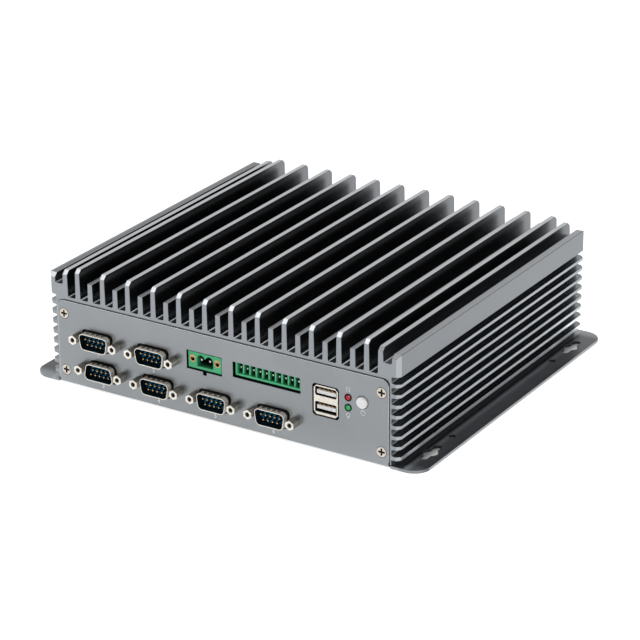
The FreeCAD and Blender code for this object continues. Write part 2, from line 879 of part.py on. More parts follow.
def cross_recess(body, level, backward=False):
    for wide, high in ((c.recess_long, c.recess_wide), (c.recess_wide, c.recess_long)):
        bar = new_sketch(body, TOP, level)
        box_about(bar, 0, 0, wide, high)
        cut(body, bar, c.recess_deep, backward=backward)


def panel_screws():
    master = countersunk_screw()
    seats = []
    for name, y, tip in (("front", -FRONT_FACE, -90), ("rear", FRONT_FACE, 90)):
        for x, z in PANEL_SCREWS:
            seats.append((name, x, y, z, tip))
    links = []
    for i, (name, x, y, z, tip) in enumerate(seats):
        link = doc.addObject("App::Link", "panel_screw_%s_%d" % (name, i))
        link.LinkedObject = master
        place(link, x, y, z, tip, Vector(1, 0, 0))
        links.append(link)
    node = doc.addObject("Part::Compound", "panel_screws")
    node.Label = "panel_screws"
    node.Links = links
    nodes.append(node)
    group("base_screws", master, [(x, y, 0) for x, y in BASE_SCREWS])


def jackscrews():
    """Hexagon posts beside each port, their studs passing panel and port ear."""
    post = new_body("jackscrew", node=False)
    grow(post, hexagon(new_sketch(post, FRONT), c.jack_across), c.jack_long)
    grow(post, circle(new_sketch(post, FRONT), 0, 0, c.jack_stud / 2), c.jack_stud_long, backward=True)
    cut(post, circle(new_sketch(post, FRONT, c.jack_long), 0, 0, c.jack_bore / 2), c.jack_bore_deep)
    nut = new_body("port_nut", node=False)
    grow(nut, hexagon(new_sketch(nut, FRONT), c.jack_across), c.nut_thick, backward=True)
    cut(nut, circle(new_sketch(nut, FRONT), 0, 0, c.nut_bore / 2))
    behind = c.sheet_gauge + c.ear_thick
    spots = [(x + side * c.jack_spacing / 2, z) for x, z, spin in SERIAL_PORTS for side in (-1, 1)]
    group("jackscrews", post, [(x, -FRONT_FACE, z) for x, z in spots])
    group("port_nuts", nut, [(x, behind - FRONT_FACE, z) for x, z in spots])


# ---- serial ports ----

def serial_port(index, x, z, spin):
    ear_back = c.sheet_gauge + c.ear_thick
    reach = c.shell_proud + ear_back
    inside = 2 * c.shell_wall
    shell = new_body("serial_shell_%d" % index)
    ear = new_sketch(shell, FRONT, -ear_back)
    box_about(ear, 0, 0, c.ear_wide, c.ear_high, c.shell_wall * 3)
    grow(shell, ear, c.ear_thick)
    nose = new_sketch(shell, FRONT, -ear_back)
    d_outline(nose, c.shell_wide, c.shell_high, c.shell_round)
    grow(shell, nose, reach)
    bore = new_sketch(shell, FRONT, c.shell_proud)
    d_outline(bore, c.shell_wide - inside, c.shell_high - inside, c.shell_round - c.shell_wall)
    cut(shell, bore, reach)
    holes = new_sketch(shell, FRONT, -ear_back)
    for side in (-1, 1):
        circle(holes, side * c.jack_spacing / 2, 0, c.nut_bore / 2)
    cut(shell, holes, c.ear_thick, backward=True)

    snug = inside + 0.1                           # insulator a little smaller than the bore
    insulator = new_body("serial_insulator_%d" % index)
    plug = new_sketch(insulator, FRONT, -ear_back)
    d_outline(plug, c.shell_wide - snug, c.shell_high - snug, c.shell_round - c.shell_wall)
    grow(insulator, plug, ear_back - c.plug_floor)
    block = new_sketch(insulator, FRONT, -ear_back)
    box_about(block, 0, 0, c.shell_wide, c.shell_high + 1)
    grow(insulator, block, c.plug_back - ear_back, backward=True)

    pins = new_body("serial_pins_%d" % index)
    pin_long = c.plug_floor + c.shell_proud - c.pin_recess
    rows = []
    for count, height in ((5, c.pin_row / 2), (4, -(c.pin_row / 2))):
        first = new_sketch(pins, FRONT, -c.plug_floor)
        circle(first, -(count - 1) * c.pin_pitch / 2, height, c.pin_wide / 2)
        rows.append((grow(pins, first, pin_long), first, count))
    for pad, sketch, count in rows:
        row_of(pins, [pad], sketch, "H_Axis", (count - 1) * c.pin_pitch, count)
    for body in (shell, insulator, pins):
        at_front(body, x, z, spin)


def header_block(body, face, wide, high, deep, level):
    """A header's block, and its foot down to the signal board behind the panel."""
    block = new_sketch(body, FRONT, face)
    box_about(block, 0, 0, wide, high)
    grow(body, block, deep, backward=True)
    foot = new_sketch(body, FRONT, -c.header_foot_front)
    rectangle(foot, -(wide / 2), wide / 2, c.signal_board_top - level, -(high / 2))
    grow(body, foot, deep - c.header_foot_front - face, backward=True)


# ---- two-pin power header with threaded brass inserts ----

def power_header():
    body = new_body("power_header")
    face = -c.power_inset
    header_block(body, face, c.power_wide, c.power_high, c.power_deep, c.power_z)
    well = new_sketch(body, FRONT, face)
    half = c.power_well_wide / 2
    rectangle(well, -half, half, c.power_well_foot, c.power_well_top)
    cut(body, well, c.power_well_deep)
    for side in (-1, 1):
        lobe = new_sketch(body, FRONT, face)
        circle(lobe, side * c.power_pitch / 2, c.power_well_top - 0.7, c.power_lobe)
        cut(body, lobe, c.power_well_deep)
    seats = new_sketch(body, FRONT, face)
    for side in (-1, 1):
        circle(seats, side * c.insert_spacing / 2, 0.5, c.insert_wide / 2)
    cut(body, seats, c.insert_long)

    pins = new_body("power_header_pins")
    pin = new_sketch(pins, FRONT, -(c.power_inset + c.power_well_deep))
    box_about(pin, -(c.power_pitch / 2), c.power_pin_z, c.power_pin, c.power_pin)
    pad = grow(pins, pin, c.power_well_deep + c.power_inset - c.power_pin_inset)
    row_of(pins, [pad], pin, "H_Axis", c.power_pitch, 2)

    inserts = new_body("power_header_inserts")
    ring = new_sketch(inserts, FRONT, face)
    circle(ring, -(c.insert_spacing / 2), 0.5, c.insert_wide / 2 - 0.03)
    circle(ring, -(c.insert_spacing / 2), 0.5, c.insert_bore / 2)
    pad = grow(inserts, ring, c.insert_long, backward=True)
    row_of(inserts, [pad], ring, "H_Axis", c.insert_spacing, 2)
    for piece in (body, pins, inserts):
        at_front(piece, c.power_x, c.power_z)


# ---- ten-way signal header ----

def signal_header():
    body = new_body("signal_header")
    face = -c.signal_inset
    header_block(body, face, c.signal_wide, c.signal_high, c.signal_deep, c.signal_z)
    low = c.signal_ledge - c.signal_high / 2
    over = c.signal_high / 2 + 1
    first_x = -4.5 * c.signal_pitch
    half = c.signal_cell / 2
    cell = new_sketch(body, FRONT, face)
    rectangle(cell, first_x - half, first_x + half, low, over)
    row_of(body, [cut(body, cell, c.signal_well)], cell, "H_Axis", 9 * c.signal_pitch, 10)
    lip = new_sketch(body, FRONT, face)
    rectangle(lip, first_x - half, half - first_x, low, over)
    cut(body, lip, c.signal_rib_back)

    pins = new_body("signal_header_pins")
    pin = new_sketch(pins, FRONT, -(c.signal_inset + c.signal_well))
    box_about(pin, first_x, c.signal_pin_z, c.signal_pin, c.signal_pin)
    pad = grow(pins, pin, c.signal_well + c.signal_inset - c.signal_pin_inset)
    row_of(pins, [pad], pin, "H_Axis", 9 * c.signal_pitch, 10)
    for piece in (body, pins):
        at_front(piece, c.signal_x, c.signal_z)


# ---- stacked USB sockets ----

def usb_stack(name, x, put):
    mouths = (c.usb_upper, c.usb_lower)
    shell = new_body(name + "_shell")
    block = new_sketch(shell, FRONT, -c.usb_inset)
    side, edge, notch = c.usb_wide / 2, c.usb_high / 2, c.usb_notch
    outline(block, [(side, notch - edge), (side, edge - notch), (side - notch, edge),
                    (notch - side, edge), (-side, edge - notch), (-side, notch - edge),
                    (notch - side, -edge), (side - notch, -edge)])
    grow(shell, block, c.usb_deep, backward=True)
    openings = new_sketch(shell, FRONT, -c.usb_inset)
    for z in mouths:
        box_about(openings, 0, z, c.usb_mouth_wide, c.usb_mouth_high, c.usb_mouth_round)
    cut(shell, openings, c.usb_mouth_deep)

    back = c.usb_inset + c.usb_mouth_deep
    tongues = new_body(name + "_tongues")
    slab = new_sketch(tongues, FRONT, -back)
    for z in mouths:
        box_about(slab, 0, z - c.tongue_drop, c.tongue_wide, c.tongue_thick)
    grow(tongues, slab, back - c.tongue_inset)

    contacts = new_body(name + "_contacts")
    strips = new_sketch(contacts, FRONT, -(c.tongue_inset + c.strip_long + c.strip_setback))
    for z in mouths:
        foot = z - c.tongue_drop + c.tongue_thick / 2
        for step in range(4):
            middle = c.strip_pitch * (step - 1.5)
            rectangle(strips, middle - c.strip_wide / 2, middle + c.strip_wide / 2,
                      foot, foot + c.strip_thick)
    grow(contacts, strips, c.strip_long)
    for piece in (shell, tongues, contacts):
        put(piece, x, c.usb_z)


# ---- indicator lamps and power button ----

def lamps():
    for name, z in LAMPS.items():
        lamp = new_body(name)
        half = new_sketch(lamp, TOP)
        radius = c.lamp_wide / 2
        outline(half, [(0, -c.lamp_proud), (radius, -c.lamp_proud), (radius, c.lamp_deep), (0, c.lamp_deep)],
                {1: c.lamp_round})
        turn(lamp, half)
        at_front(lamp, c.lamp_x, z)
    holder = new_body("lamp_holder", node=False)
    half = new_sketch(holder, TOP)
    bore, sleeve, rim = c.holder_bore / 2, c.holder_wide / 2, c.holder_rim / 2
    outline(half, [(bore, -c.holder_lip), (rim, -c.holder_lip), (rim, 0), (sleeve, 0),
                   (sleeve, c.holder_deep), (bore, c.holder_deep)])
    turn(holder, half)
    group("led_holders", holder, [(c.lamp_x, -FRONT_FACE, z) for z in LAMPS.values()])


def power_button():
    cap = new_body("power_button")
    collar_front = c.sheet_gauge + c.button_seat
    collar_back = collar_front + c.button_collar_thick
    half = new_sketch(cap, TOP)
    face, collar, stem = c.button_wide / 2, c.button_collar / 2, c.button_stem / 2
    outline(half, [(0, -c.button_proud), (face, -c.button_proud), (face, collar_front),
                   (collar, collar_front), (collar, collar_back), (stem, collar_back),
                   (stem, c.button_end), (0, c.button_end)], {1: c.button_round})
    turn(cap, half)

    housing = new_body("switch_housing")
    block = new_sketch(housing, FRONT, -c.sheet_gauge)
    box_about(block, 0, 0, c.switch_wide, c.switch_wide)
    grow(housing, block, c.switch_end - c.sheet_gauge, backward=True)
    well = new_sketch(housing, FRONT, -c.sheet_gauge)
    circle(well, 0, 0, c.switch_well / 2)
    well_deep = c.button_seat + c.button_collar_thick + c.button_travel + 0.5
    cut(housing, well, well_deep)
    bore = new_sketch(housing, FRONT, -c.sheet_gauge)
    circle(bore, 0, 0, c.switch_bore / 2)
    cut(housing, bore, c.switch_bore_end - c.sheet_gauge)
    for piece in (cap, housing):
        at_front(piece, c.button_x, c.button_z)


# ---- rear sockets ----

def lan_socket(index, x):
    """A network socket: a sheet shell around a moulded insert with a keyed mouth."""
    shell = new_body("lan_shell_%d" % index)
    skin = 2 * c.lan_skin
    block = new_sketch(shell, FRONT)
    box_about(block, 0, 0, c.lan_wide, c.lan_high)
    grow(shell, block, c.lan_deep, backward=True)
    hollow = new_sketch(shell, FRONT)
    box_about(hollow, 0, 0, c.lan_wide - skin, c.lan_high - skin)
    cut(shell, hollow, c.lan_deep - c.lan_skin)

    insert = new_body("lan_insert_%d" % index)
    loose = skin + 0.1
    core = new_sketch(insert, FRONT, -0.3)
    box_about(core, 0, 0, c.lan_wide - loose, c.lan_high - loose)
    grow(insert, core, c.lan_deep - c.lan_skin - 0.3, backward=True)
    foot = c.lan_mouth_foot - c.lan_high / 2
    half, key = c.lan_mouth_wide / 2, c.lan_key_wide / 2
    shoulder = foot + c.lan_key_high
    top = shoulder + c.lan_mouth_high
    mouth = new_sketch(insert, FRONT, -0.3)
    outline(mouth, [(-key, foot), (key, foot), (key, shoulder), (half, shoulder), (half, top),
                    (-half, top), (-half, shoulder), (-key, shoulder)])
    cut(insert, mouth, c.lan_mouth_deep)
    for piece in (shell, insert):
        at_rear(piece, x, LAN_MOUTH_Z)


def display_socket():
    """A flat digital display socket with slanted lower corners and a central tongue."""
    shell = new_body("display_shell")
    half, tall, slant = c.display_wide / 2, c.display_high / 2, c.display_slant

    def trapeze(sketch, inset):
        wide, high, corner = half - inset, tall - inset, slant
        outline(sketch, [(corner - wide, -high), (wide - corner, -high), (wide, corner - high),
                         (wide, high), (-wide, high), (-wide, corner - high)])
        return sketch

    grow(shell, trapeze(new_sketch(shell, FRONT), c.display_skin * 0), c.display_deep, backward=True)
    cut(shell, trapeze(new_sketch(shell, FRONT), c.display_skin), c.display_deep - 1.5)
    tongue = new_body("display_tongue")
    slab = new_sketch(tongue, FRONT, 1.5 - c.display_deep)
    box_about(slab, 0, 0.4, c.display_tongue_wide, c.display_tongue_thick)
    grow(tongue, slab, c.display_deep - 3)
    for piece in (shell, tongue):
        at_rear(piece, c.display_x, DISPLAY_Z)


# ---- boards and what they carry ----

def boards():
    main = new_body("main_board")
    rear = FRONT_FACE - c.board_rear
    front = c.board_front - FRONT_FACE
    lug = c.board_lug - FRONT_FACE
    plate = new_sketch(main, TOP, BOARD_FOOT)
    outline(plate, [(c.board_left, front), (c.board_step_x, front), (c.board_step_x, lug),
                    (c.board_right, lug), (c.board_right, rear), (c.board_left, rear)])
    grow(main, plate, c.board_thick)
    holes = new_sketch(main, TOP, BOARD_FOOT)
    for x, y in MAIN_POSTS:
        circle(holes, x, y, c.clear_wide / 2)
    cut(main, holes, c.board_thick, backward=True)

    signal = new_body("signal_board")
    near_edge = c.signal_board_front - FRONT_FACE
    plate = new_sketch(signal, TOP, c.signal_board_top - c.board_thick)
    rectangle(plate, c.signal_board_left, c.signal_board_right, near_edge,
              near_edge + c.signal_board_deep)
    grow(signal, plate, c.board_thick)
    holes = new_sketch(signal, TOP, c.signal_board_top - c.board_thick)
    for x, y in SIGNAL_POSTS:
        circle(holes, x, y, c.clear_wide / 2)
    cut(signal, holes, c.board_thick, backward=True)


def post(name, high):
    body = new_body(name, node=False)
    grow(body, hexagon(new_sketch(body, TOP), c.post_across), high)
    cut(body, circle(new_sketch(body, TOP, high), 0, 0, c.post_bore / 2), c.board_screw_long)
    return body


def board_fasteners():
    main_post = post("main_post", BOARD_FOOT - c.sheet_gauge)
    signal_post = post("signal_post", c.signal_board_top - c.board_thick - c.board_top)
    group("board_posts", main_post, [(x, y, c.sheet_gauge) for x, y in MAIN_POSTS])
    group("signal_posts", signal_post, [(x, y, c.board_top) for x, y in SIGNAL_POSTS])
    screw = new_body("board_screw", node=False)
    half = new_sketch(screw, FRONT)
    head, shank = c.board_screw_head / 2, c.screw_shank / 2 - 0.05
    foot = 0.5 - c.board_screw_long
    outline(half, [(0, foot), (shank, foot), (shank, 0), (head, 0), (head, c.board_screw_high),
                   (0, c.board_screw_high)])
    turn(screw, half)
    cross_recess(screw, c.board_screw_high)
    tops = [(x, y, c.board_top) for x, y in MAIN_POSTS]
    tops += [(x, y, c.signal_board_top) for x, y in SIGNAL_POSTS]
    group("board_screws", screw, tops)


def processor():
    """Processor, and the block that carries its heat up to the finned roof."""
    chip = new_body("processor")
    base = new_sketch(chip, TOP, c.board_top)
    box_about(base, c.chip_x, c.chip_y, c.chip_wide, c.chip_wide)
    grow(chip, base, c.chip_thick)
    die = new_sketch(chip, TOP, c.board_top + c.chip_thick)
    box_about(die, c.chip_x, c.chip_y, c.die_wide, c.die_wide)
    grow(chip, die, c.die_thick)
    die_top = c.board_top + c.chip_thick + c.die_thick
    block_foot = die_top + c.pad_thick
    block_top = c.roof_under - c.pad_thick

    pads = new_body("thermal_pads")
    for level, wide in ((die_top, c.die_wide), (block_top, c.block_wide)):
        pad = new_sketch(pads, TOP, level)
        box_about(pad, c.chip_x, c.chip_y, wide, wide)
        grow(pads, pad, c.pad_thick)

    block = new_body("heat_block")
    lump = new_sketch(block, TOP, block_foot)
    box_about(lump, c.chip_x, c.chip_y, c.block_wide, c.block_wide, c.block_corner)
    grow(block, lump, block_top - block_foot)


def memory():
    socket = new_body("memory_socket")
    x, back = c.memory_x, c.memory_y
    wide = c.memory_wide + 4
    block = new_sketch(socket, TOP, c.board_top)
    rectangle(block, x - wide / 2, x + wide / 2, back - c.memory_socket_deep, back)
    grow(socket, block, c.memory_socket_high)
    low = c.board_top + c.memory_rise
    slit = new_sketch(socket, FRONT, c.memory_socket_deep - back)
    clear = 0.1
    half = c.memory_wide / 2 + clear
    rectangle(slit, x - half, x + half, low - clear, low + c.memory_thick + clear)
    cut(socket, slit, c.memory_grip)

    module = new_body("memory_module")
    inner = back - c.memory_socket_deep + c.memory_grip - clear
    card = new_sketch(module, TOP, low)
    rectangle(card, x - c.memory_wide / 2, x + c.memory_wide / 2, inner - c.memory_deep, inner)
    grow(module, card, c.memory_thick)


def storage_drive():
    drive = new_body("storage_drive")
    case = new_sketch(drive, TOP, c.sheet_gauge)
    box_about(case, c.drive_x, c.drive_y, c.drive_wide, c.drive_deep, c.drive_corner)
    grow(drive, case, c.drive_high)


def coin_cell():
    holder = new_body("cell_holder")
    ring = new_sketch(holder, TOP, c.board_top)
    circle(ring, c.cell_x, c.cell_y, c.cell_ring / 2)
    grow(holder, ring, c.cell_bed + c.cell_thick)
    bed = new_sketch(holder, TOP, c.board_top + c.cell_bed)
    circle(bed, c.cell_x, c.cell_y, c.cell_wide / 2 + c.cell_fit)
    cut(holder, bed, c.cell_thick, backward=True)
    cell = new_body("coin_cell")
    disc = new_sketch(cell, TOP, c.board_top + c.cell_bed)
    circle(disc, c.cell_x, c.cell_y, c.cell_wide / 2)
    grow(cell, disc, c.cell_thick)


def build():
    chassis_tray()
    heatsink_housing()
    panel_screws()
    for index, (x, z, spin) in enumerate(SERIAL_PORTS, 1):
        serial_port(index, x, z, spin)
    jackscrews()
    power_header()
    signal_header()
    for name, (x, put) in USB_STACKS.items():
        usb_stack(name, x, put)
    lamps()
    power_button()
    for index, x in enumerate(LAN_SOCKETS, 1):
        lan_socket(index, x)
    display_socket()
    boards()
    board_fasteners()
    processor()
    memory()
    storage_drive()
    coin_cell()
    doc.recompute()


def check_and_write():
    for thing in doc.Objects:
        if "Invalid" in thing.State or "Error" in thing.State:
            raise RuntimeError("%s failed: %s" % (thing.Label, thing.State))
    for node in nodes:
        if node.Shape.isNull() or not node.Shape.isValid():
            raise RuntimeError("%s has no sound shape" % node.Label)
    os.makedirs("parts", exist_ok=True)
    for node in nodes:
        node.Shape.exportStep("parts/%s.step" % node.Label)
        box = node.Shape.BoundBox
        print("%-24s %2d solids %10.1f mm3  x %.1f..%.1f y %.1f..%.1f z %.1f..%.1f" % (
            node.Label, len(node.Shape.Solids), node.Shape.Volume,
            box.XMin, box.XMax, box.YMin, box.YMax, box.ZMin, box.ZMax))


build()
check_and_write()
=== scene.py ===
import json
import math
import bpy
from mathutils import Matrix, Vector

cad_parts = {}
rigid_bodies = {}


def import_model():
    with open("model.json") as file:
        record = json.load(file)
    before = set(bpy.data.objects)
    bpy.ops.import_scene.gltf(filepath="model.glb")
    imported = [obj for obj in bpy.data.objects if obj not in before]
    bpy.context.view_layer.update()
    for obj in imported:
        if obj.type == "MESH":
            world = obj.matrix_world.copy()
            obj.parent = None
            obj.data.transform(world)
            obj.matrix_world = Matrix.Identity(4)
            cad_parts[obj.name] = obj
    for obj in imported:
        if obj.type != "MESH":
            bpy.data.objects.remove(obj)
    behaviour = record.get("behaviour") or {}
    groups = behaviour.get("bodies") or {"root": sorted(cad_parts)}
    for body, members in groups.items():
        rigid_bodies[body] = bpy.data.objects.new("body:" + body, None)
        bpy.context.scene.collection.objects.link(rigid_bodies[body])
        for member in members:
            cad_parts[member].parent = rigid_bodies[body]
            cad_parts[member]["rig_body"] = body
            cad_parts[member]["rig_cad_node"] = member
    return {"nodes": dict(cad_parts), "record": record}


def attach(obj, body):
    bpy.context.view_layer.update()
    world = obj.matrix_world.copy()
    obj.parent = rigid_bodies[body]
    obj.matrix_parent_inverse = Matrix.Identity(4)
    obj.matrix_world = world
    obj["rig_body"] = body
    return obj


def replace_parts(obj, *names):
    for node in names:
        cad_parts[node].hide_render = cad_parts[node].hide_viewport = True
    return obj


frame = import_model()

mm = 0.001
scene = bpy.context.scene
scene.view_settings.view_transform = "Standard"
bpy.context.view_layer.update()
print("solids loaded:", len(frame["nodes"]), "nodes")

viewpoint = {
    "lens": 156.1,                         # mm
    "sensor": 36,
    "clip": (0.05, 40),
    "azimuth": 32.113,                     # degrees, as the two below
    "elevation": 23.192,
    "roll": -0.427,
    "distance": 1.3515,
    "target": (0.06098, -0.099, 0.07046),
}
studio = {
    "wallLight": 1.12,                     # pale walls all round, low down
    "roofLight": 0.12,
    "wallTop": (0.45, 0.80),               # from here up the walls turn to roof, on a unit ball
    "screenAt": (-0.49, -0.78, 0.39),      # a dark screen that keeps glare off the sockets
    "screenEdge": (0.45, 0.92),
    "screenLight": 0.14,
    "backAt": (0.10, 0.78, 0.62),          # a soft box behind, that draws the foot of each fin
    "backEdge": (0.95, 0.995),
    "backLight": 1.8,
    "aim": (0, 0, 0.03),                   # where both lamps point
    "key": {"at": (-0.64, -0.32, 1.42), "size": 1.3, "power": 10, "shade": (1.0, 0.99, 0.97)},
    "rim": {"at": (1.5, 0.7, 1.5), "size": 1.2, "power": 9, "shade": (0.97, 0.98, 1.0)},
}
table = {
    "size": 14.0,
    "drop": 0.2 * mm,                      # below the foot of the case
    "shade": (0.93, 0.93, 0.93),
    "cloudScale": 3.0,
    "cloudShare": 0.985,
    "roughness": 0.9,
    "glow": 0.50,                          # lit from below as well
    "paintedLightNear": (1.5, 1.5, 1.5),           # painted light: more so close round the case
    "nearSide": (128 * mm, 119 * mm),
    "nearFront": (125 * mm, 100 * mm),
    "paintedShadeUnder": (0.30, 0.30, 0.30),      # painted shade: no glow under it, and a darker floor
    "underSide": (118.5 * mm, 107 * mm),
    "underFront": (98.5 * mm, 95 * mm),
}
white = (1, 1, 1)
black = (0, 0, 0)


def addCamera():
    turn, rise, roll = (math.radians(viewpoint[name]) for name in ("azimuth", "elevation", "roll"))
    back = Vector((math.sin(turn) * math.cos(rise),
                   -math.cos(turn) * math.cos(rise),
                   math.sin(rise)))
    level = Vector((math.cos(turn), math.sin(turn), 0))
    upright = back.cross(level)
    right = level * math.cos(roll) + upright * math.sin(roll)
    up = upright * math.cos(roll) - level * math.sin(roll)
    camera = bpy.data.objects.new("camera", bpy.data.cameras.new("camera"))
    camera.data.sensor_width = viewpoint["sensor"]
    camera.data.lens = viewpoint["lens"]
    camera.data.clip_start, camera.data.clip_end = viewpoint["clip"]
    scene.collection.objects.link(camera)
    place = Vector(viewpoint["target"]) + back * viewpoint["distance"]
    turned = Matrix((right, up, back)).transposed().to_4x4()
    camera.matrix_world = Matrix.Translation(place) @ turned
    scene.camera = camera


def addLight(name, facts):
    lamp = bpy.data.lights.new(name, "AREA")
    lamp.shape = "DISK"
    lamp.size = facts["size"]
    lamp.energy = facts["power"]
    lamp.color = facts["shade"]
    holder = bpy.data.objects.new(name, lamp)
    scene.collection.objects.link(holder)
    place = Vector(facts["at"])
    holder.location = place
    holder.rotation_mode = "QUATERNION"
    holder.rotation_quaternion = (place - Vector(studio["aim"])).to_track_quat("Z", "Y")


def clearSelection():
    if bpy.context.mode != "OBJECT":
        bpy.ops.object.mode_set(mode="OBJECT")
    bpy.ops.object.select_all(action="DESELECT")


class Wire:
    # one socket, so that sums in Python add Math nodes
    def __init__(self, shades, socket):
        self.shades = shades
        self.socket = socket

    def sum(self, operation, first, second):
        return self.shades.node("ShaderNodeMath", {"operation": operation}, {0: first, 1: second})

    def __add__(self, other):
        return self.sum("ADD", self, other)

    def __radd__(self, other):
        return self.sum("ADD", other, self)

    def __sub__(self, other):
        return self.sum("SUBTRACT", self, other)

    def __rsub__(self, other):
        return self.sum("SUBTRACT", other, self)

    def __mul__(self, other):
        return self.sum("MULTIPLY", self, other)

    def __rmul__(self, other):
        return self.sum("MULTIPLY", other, self)

    def __gt__(self, other):
        return self.sum("GREATER_THAN", self, other)

    def __lt__(self, other):
        return self.sum("LESS_THAN", self, other)

    def __abs__(self):
        return self.sum("ABSOLUTE", self, 0)


class Shades:
    # nodes written as expressions, for a world or a material
    def __init__(self, tree):
        self.tree = tree

    def feed(self, socket, value):
        if isinstance(value, Wire):
            self.tree.links.new(value.socket, socket)
        elif isinstance(value, (tuple, list)) and socket.type == "RGBA":
            socket.default_value = (*value[:3], 1)
        else:
            socket.default_value = value

    def node(self, kind, settings=None, inputs=None, output=0):
        made = self.tree.nodes.new(kind)
        for key, value in (settings or {}).items():
            setattr(made, key, value)
        for key, value in (inputs or {}).items():
            self.feed(made.inputs[key], value)
        return Wire(self, made.outputs[output])

    def place(self, kind="Object"):
        return self.node("ShaderNodeTexCoord", output=kind)

    def normal(self):
        return self.node("ShaderNodeNewGeometry", output="Normal")

    def parted(self, source):
        split = self.node("ShaderNodeSeparateXYZ", inputs={0: source})
        outputs = split.socket.node.outputs
        return [Wire(self, outputs[i]) for i in range(3)]

    def axes(self):
        return self.parted(self.place())

    def facing(self):
        return self.parted(self.normal())

    def towards(self, source, aim):
        return self.node("ShaderNodeVectorMath", {"operation": "DOT_PRODUCT"},
                         {0: source, 1: aim}, "Value")

    def noise(self, scale, detail=3.0, rough=0.55, stretch=(1, 1, 1)):
        spot = self.node("ShaderNodeMapping", {"vector_type": "POINT"},
                         {"Vector": self.place(), "Scale": stretch})
        return self.node("ShaderNodeTexNoise", None, {"Vector": spot, "Scale": scale,
                                                      "Detail": detail, "Roughness": rough})

    def step(self, value, low, high, start=0.0, end=1.0):
        # start below low, end above high, smooth between
        return self.node("ShaderNodeMapRange", {"interpolation_type": "SMOOTHSTEP"},
                         {"Value": value, "From Min": low, "From Max": high,
                          "To Min": start, "To Max": end})

    def mix(self, share, first, second):
        return self.node("ShaderNodeMix", {"data_type": "RGBA", "clamp_factor": True},
                         {0: share, 6: first, 7: second}, 2)

    def bump(self, height, strength, distance):
        return self.node("ShaderNodeBump", None, {"Strength": strength, "Distance": distance,
                                                  "Height": height})


class Finish(Shades):
    def __init__(self, name, **shader):
        self.material = bpy.data.materials.new(name)
        self.material.use_nodes = True
        super().__init__(self.material.node_tree)
        self.surface = next(node for node in self.tree.nodes if node.type == "BSDF_PRINCIPLED")
        for key, value in shader.items():
            self.set(key, value)

    def set(self, key, value):
        # baseColor becomes the shader's Base Color, and so on
        name = "".join(" " + letter if letter.isupper() else letter for letter in key).title()
        self.feed(self.surface.inputs[name.replace("Ior", "IOR")], value)


def dimmed(shade, share):
    return tuple(share * part for part in shade)


def floorFinish():
    shades = Finish("floor", roughness=table["roughness"], specularIorLevel=0.0,
                    emissionStrength=table["glow"])
    cloud = shades.noise(table["cloudScale"])
    x, y = shades.axes()[:2]
    # painted shade under the case, and painted light in a strip close round it
    under = shades.step(abs(x), *table["underSide"]) * shades.step(abs(y), *table["underFront"])
    near = shades.step(abs(y), *table["nearFront"]) * shades.step(abs(x), *table["nearSide"])
    lit = shades.mix(near, white, table["paintedLightNear"])
    shades.set("emissionColor", shades.mix(under, lit, black))
    shade = shades.mix(cloud, table["shade"], dimmed(table["shade"], table["cloudShare"]))
    shades.set("baseColor", shades.mix(under, shade, table["paintedShadeUnder"]))
    return shades.material


def addStudio():
    world = bpy.data.worlds.new("studio")
    world.use_nodes = True
    scene.world = world
    shades = Shades(world.node_tree)
    sky = next(node for node in world.node_tree.nodes if node.type == "BACKGROUND")
    shades.feed(sky.inputs["Color"], white)
    aim = shades.place("Generated")
    height = shades.towards(aim, (0, 0, 1))
    walls = shades.step(height, *studio["wallTop"], studio["wallLight"], studio["roofLight"])
    screen = shades.step(shades.towards(aim, studio["screenAt"]), *studio["screenEdge"],
                         1.0, studio["screenLight"])
    back = shades.step(shades.towards(aim, studio["backAt"]), *studio["backEdge"],
                       0.0, studio["backLight"])
    shades.feed(sky.inputs["Strength"], walls * screen + back)
    for name in ("key", "rim"):
        addLight(name, studio[name])
    clearSelection()
    bpy.ops.mesh.primitive_plane_add(size=table["size"], location=(0, 0, -table["drop"]))
    floor = bpy.context.object
    floor.name = "floor"
    bpy.ops.object.transform_apply(location=True)
    floor.data.materials.append(floorFinish())


addCamera()
addStudio()
print("camera and studio placed")

greyCoat = {
    "base": (0.262, 0.278, 0.292),
    "pale": (0.280, 0.297, 0.312),
    "cloudFrom": (0.35, 0.65),
    "cutEdge": (0.50, 0.52, 0.54),         # the sheared rim of the flanges
    "cutFrom": (118.2 * mm, 118.45 * mm),
    "cutShare": 0.5,
    "flange": (0.068, 0.072, 0.077),       # the flanges lie in the fins' shade
    "flangeFrom": 105.8 * mm,
    "flangeEnd": (0.225, 0.236, 0.248),    # but less so at their ends
    "endFrom": (90 * mm, 97 * mm),
    "panelEdge": (0.84, 0.86, 0.88),       # the sheared edges of both panels
    "panelSide": 99.8 * mm,
    "panelTop": 46.9 * mm,
    "panelFoot": 3.0 * mm,
    "inside": (0.05, 0.052, 0.055),        # painted shade: dark behind the openings
    "insideFrom": (98.7 * mm, 98.2 * mm),
    "windowSide": 98 * mm,
    "windowTop": 43 * mm,
    "windowFoot": 2.0 * mm,
    "metallic": 0.94,
    "roughness": 0.31,
    "grainScale": 2600,
    "grainDepth": 0.012 * mm,
    "grainWear": 0.12,
    "relief": 0.35,
    "cloudScale": 26,
    "cloudWear": 0.06,
}


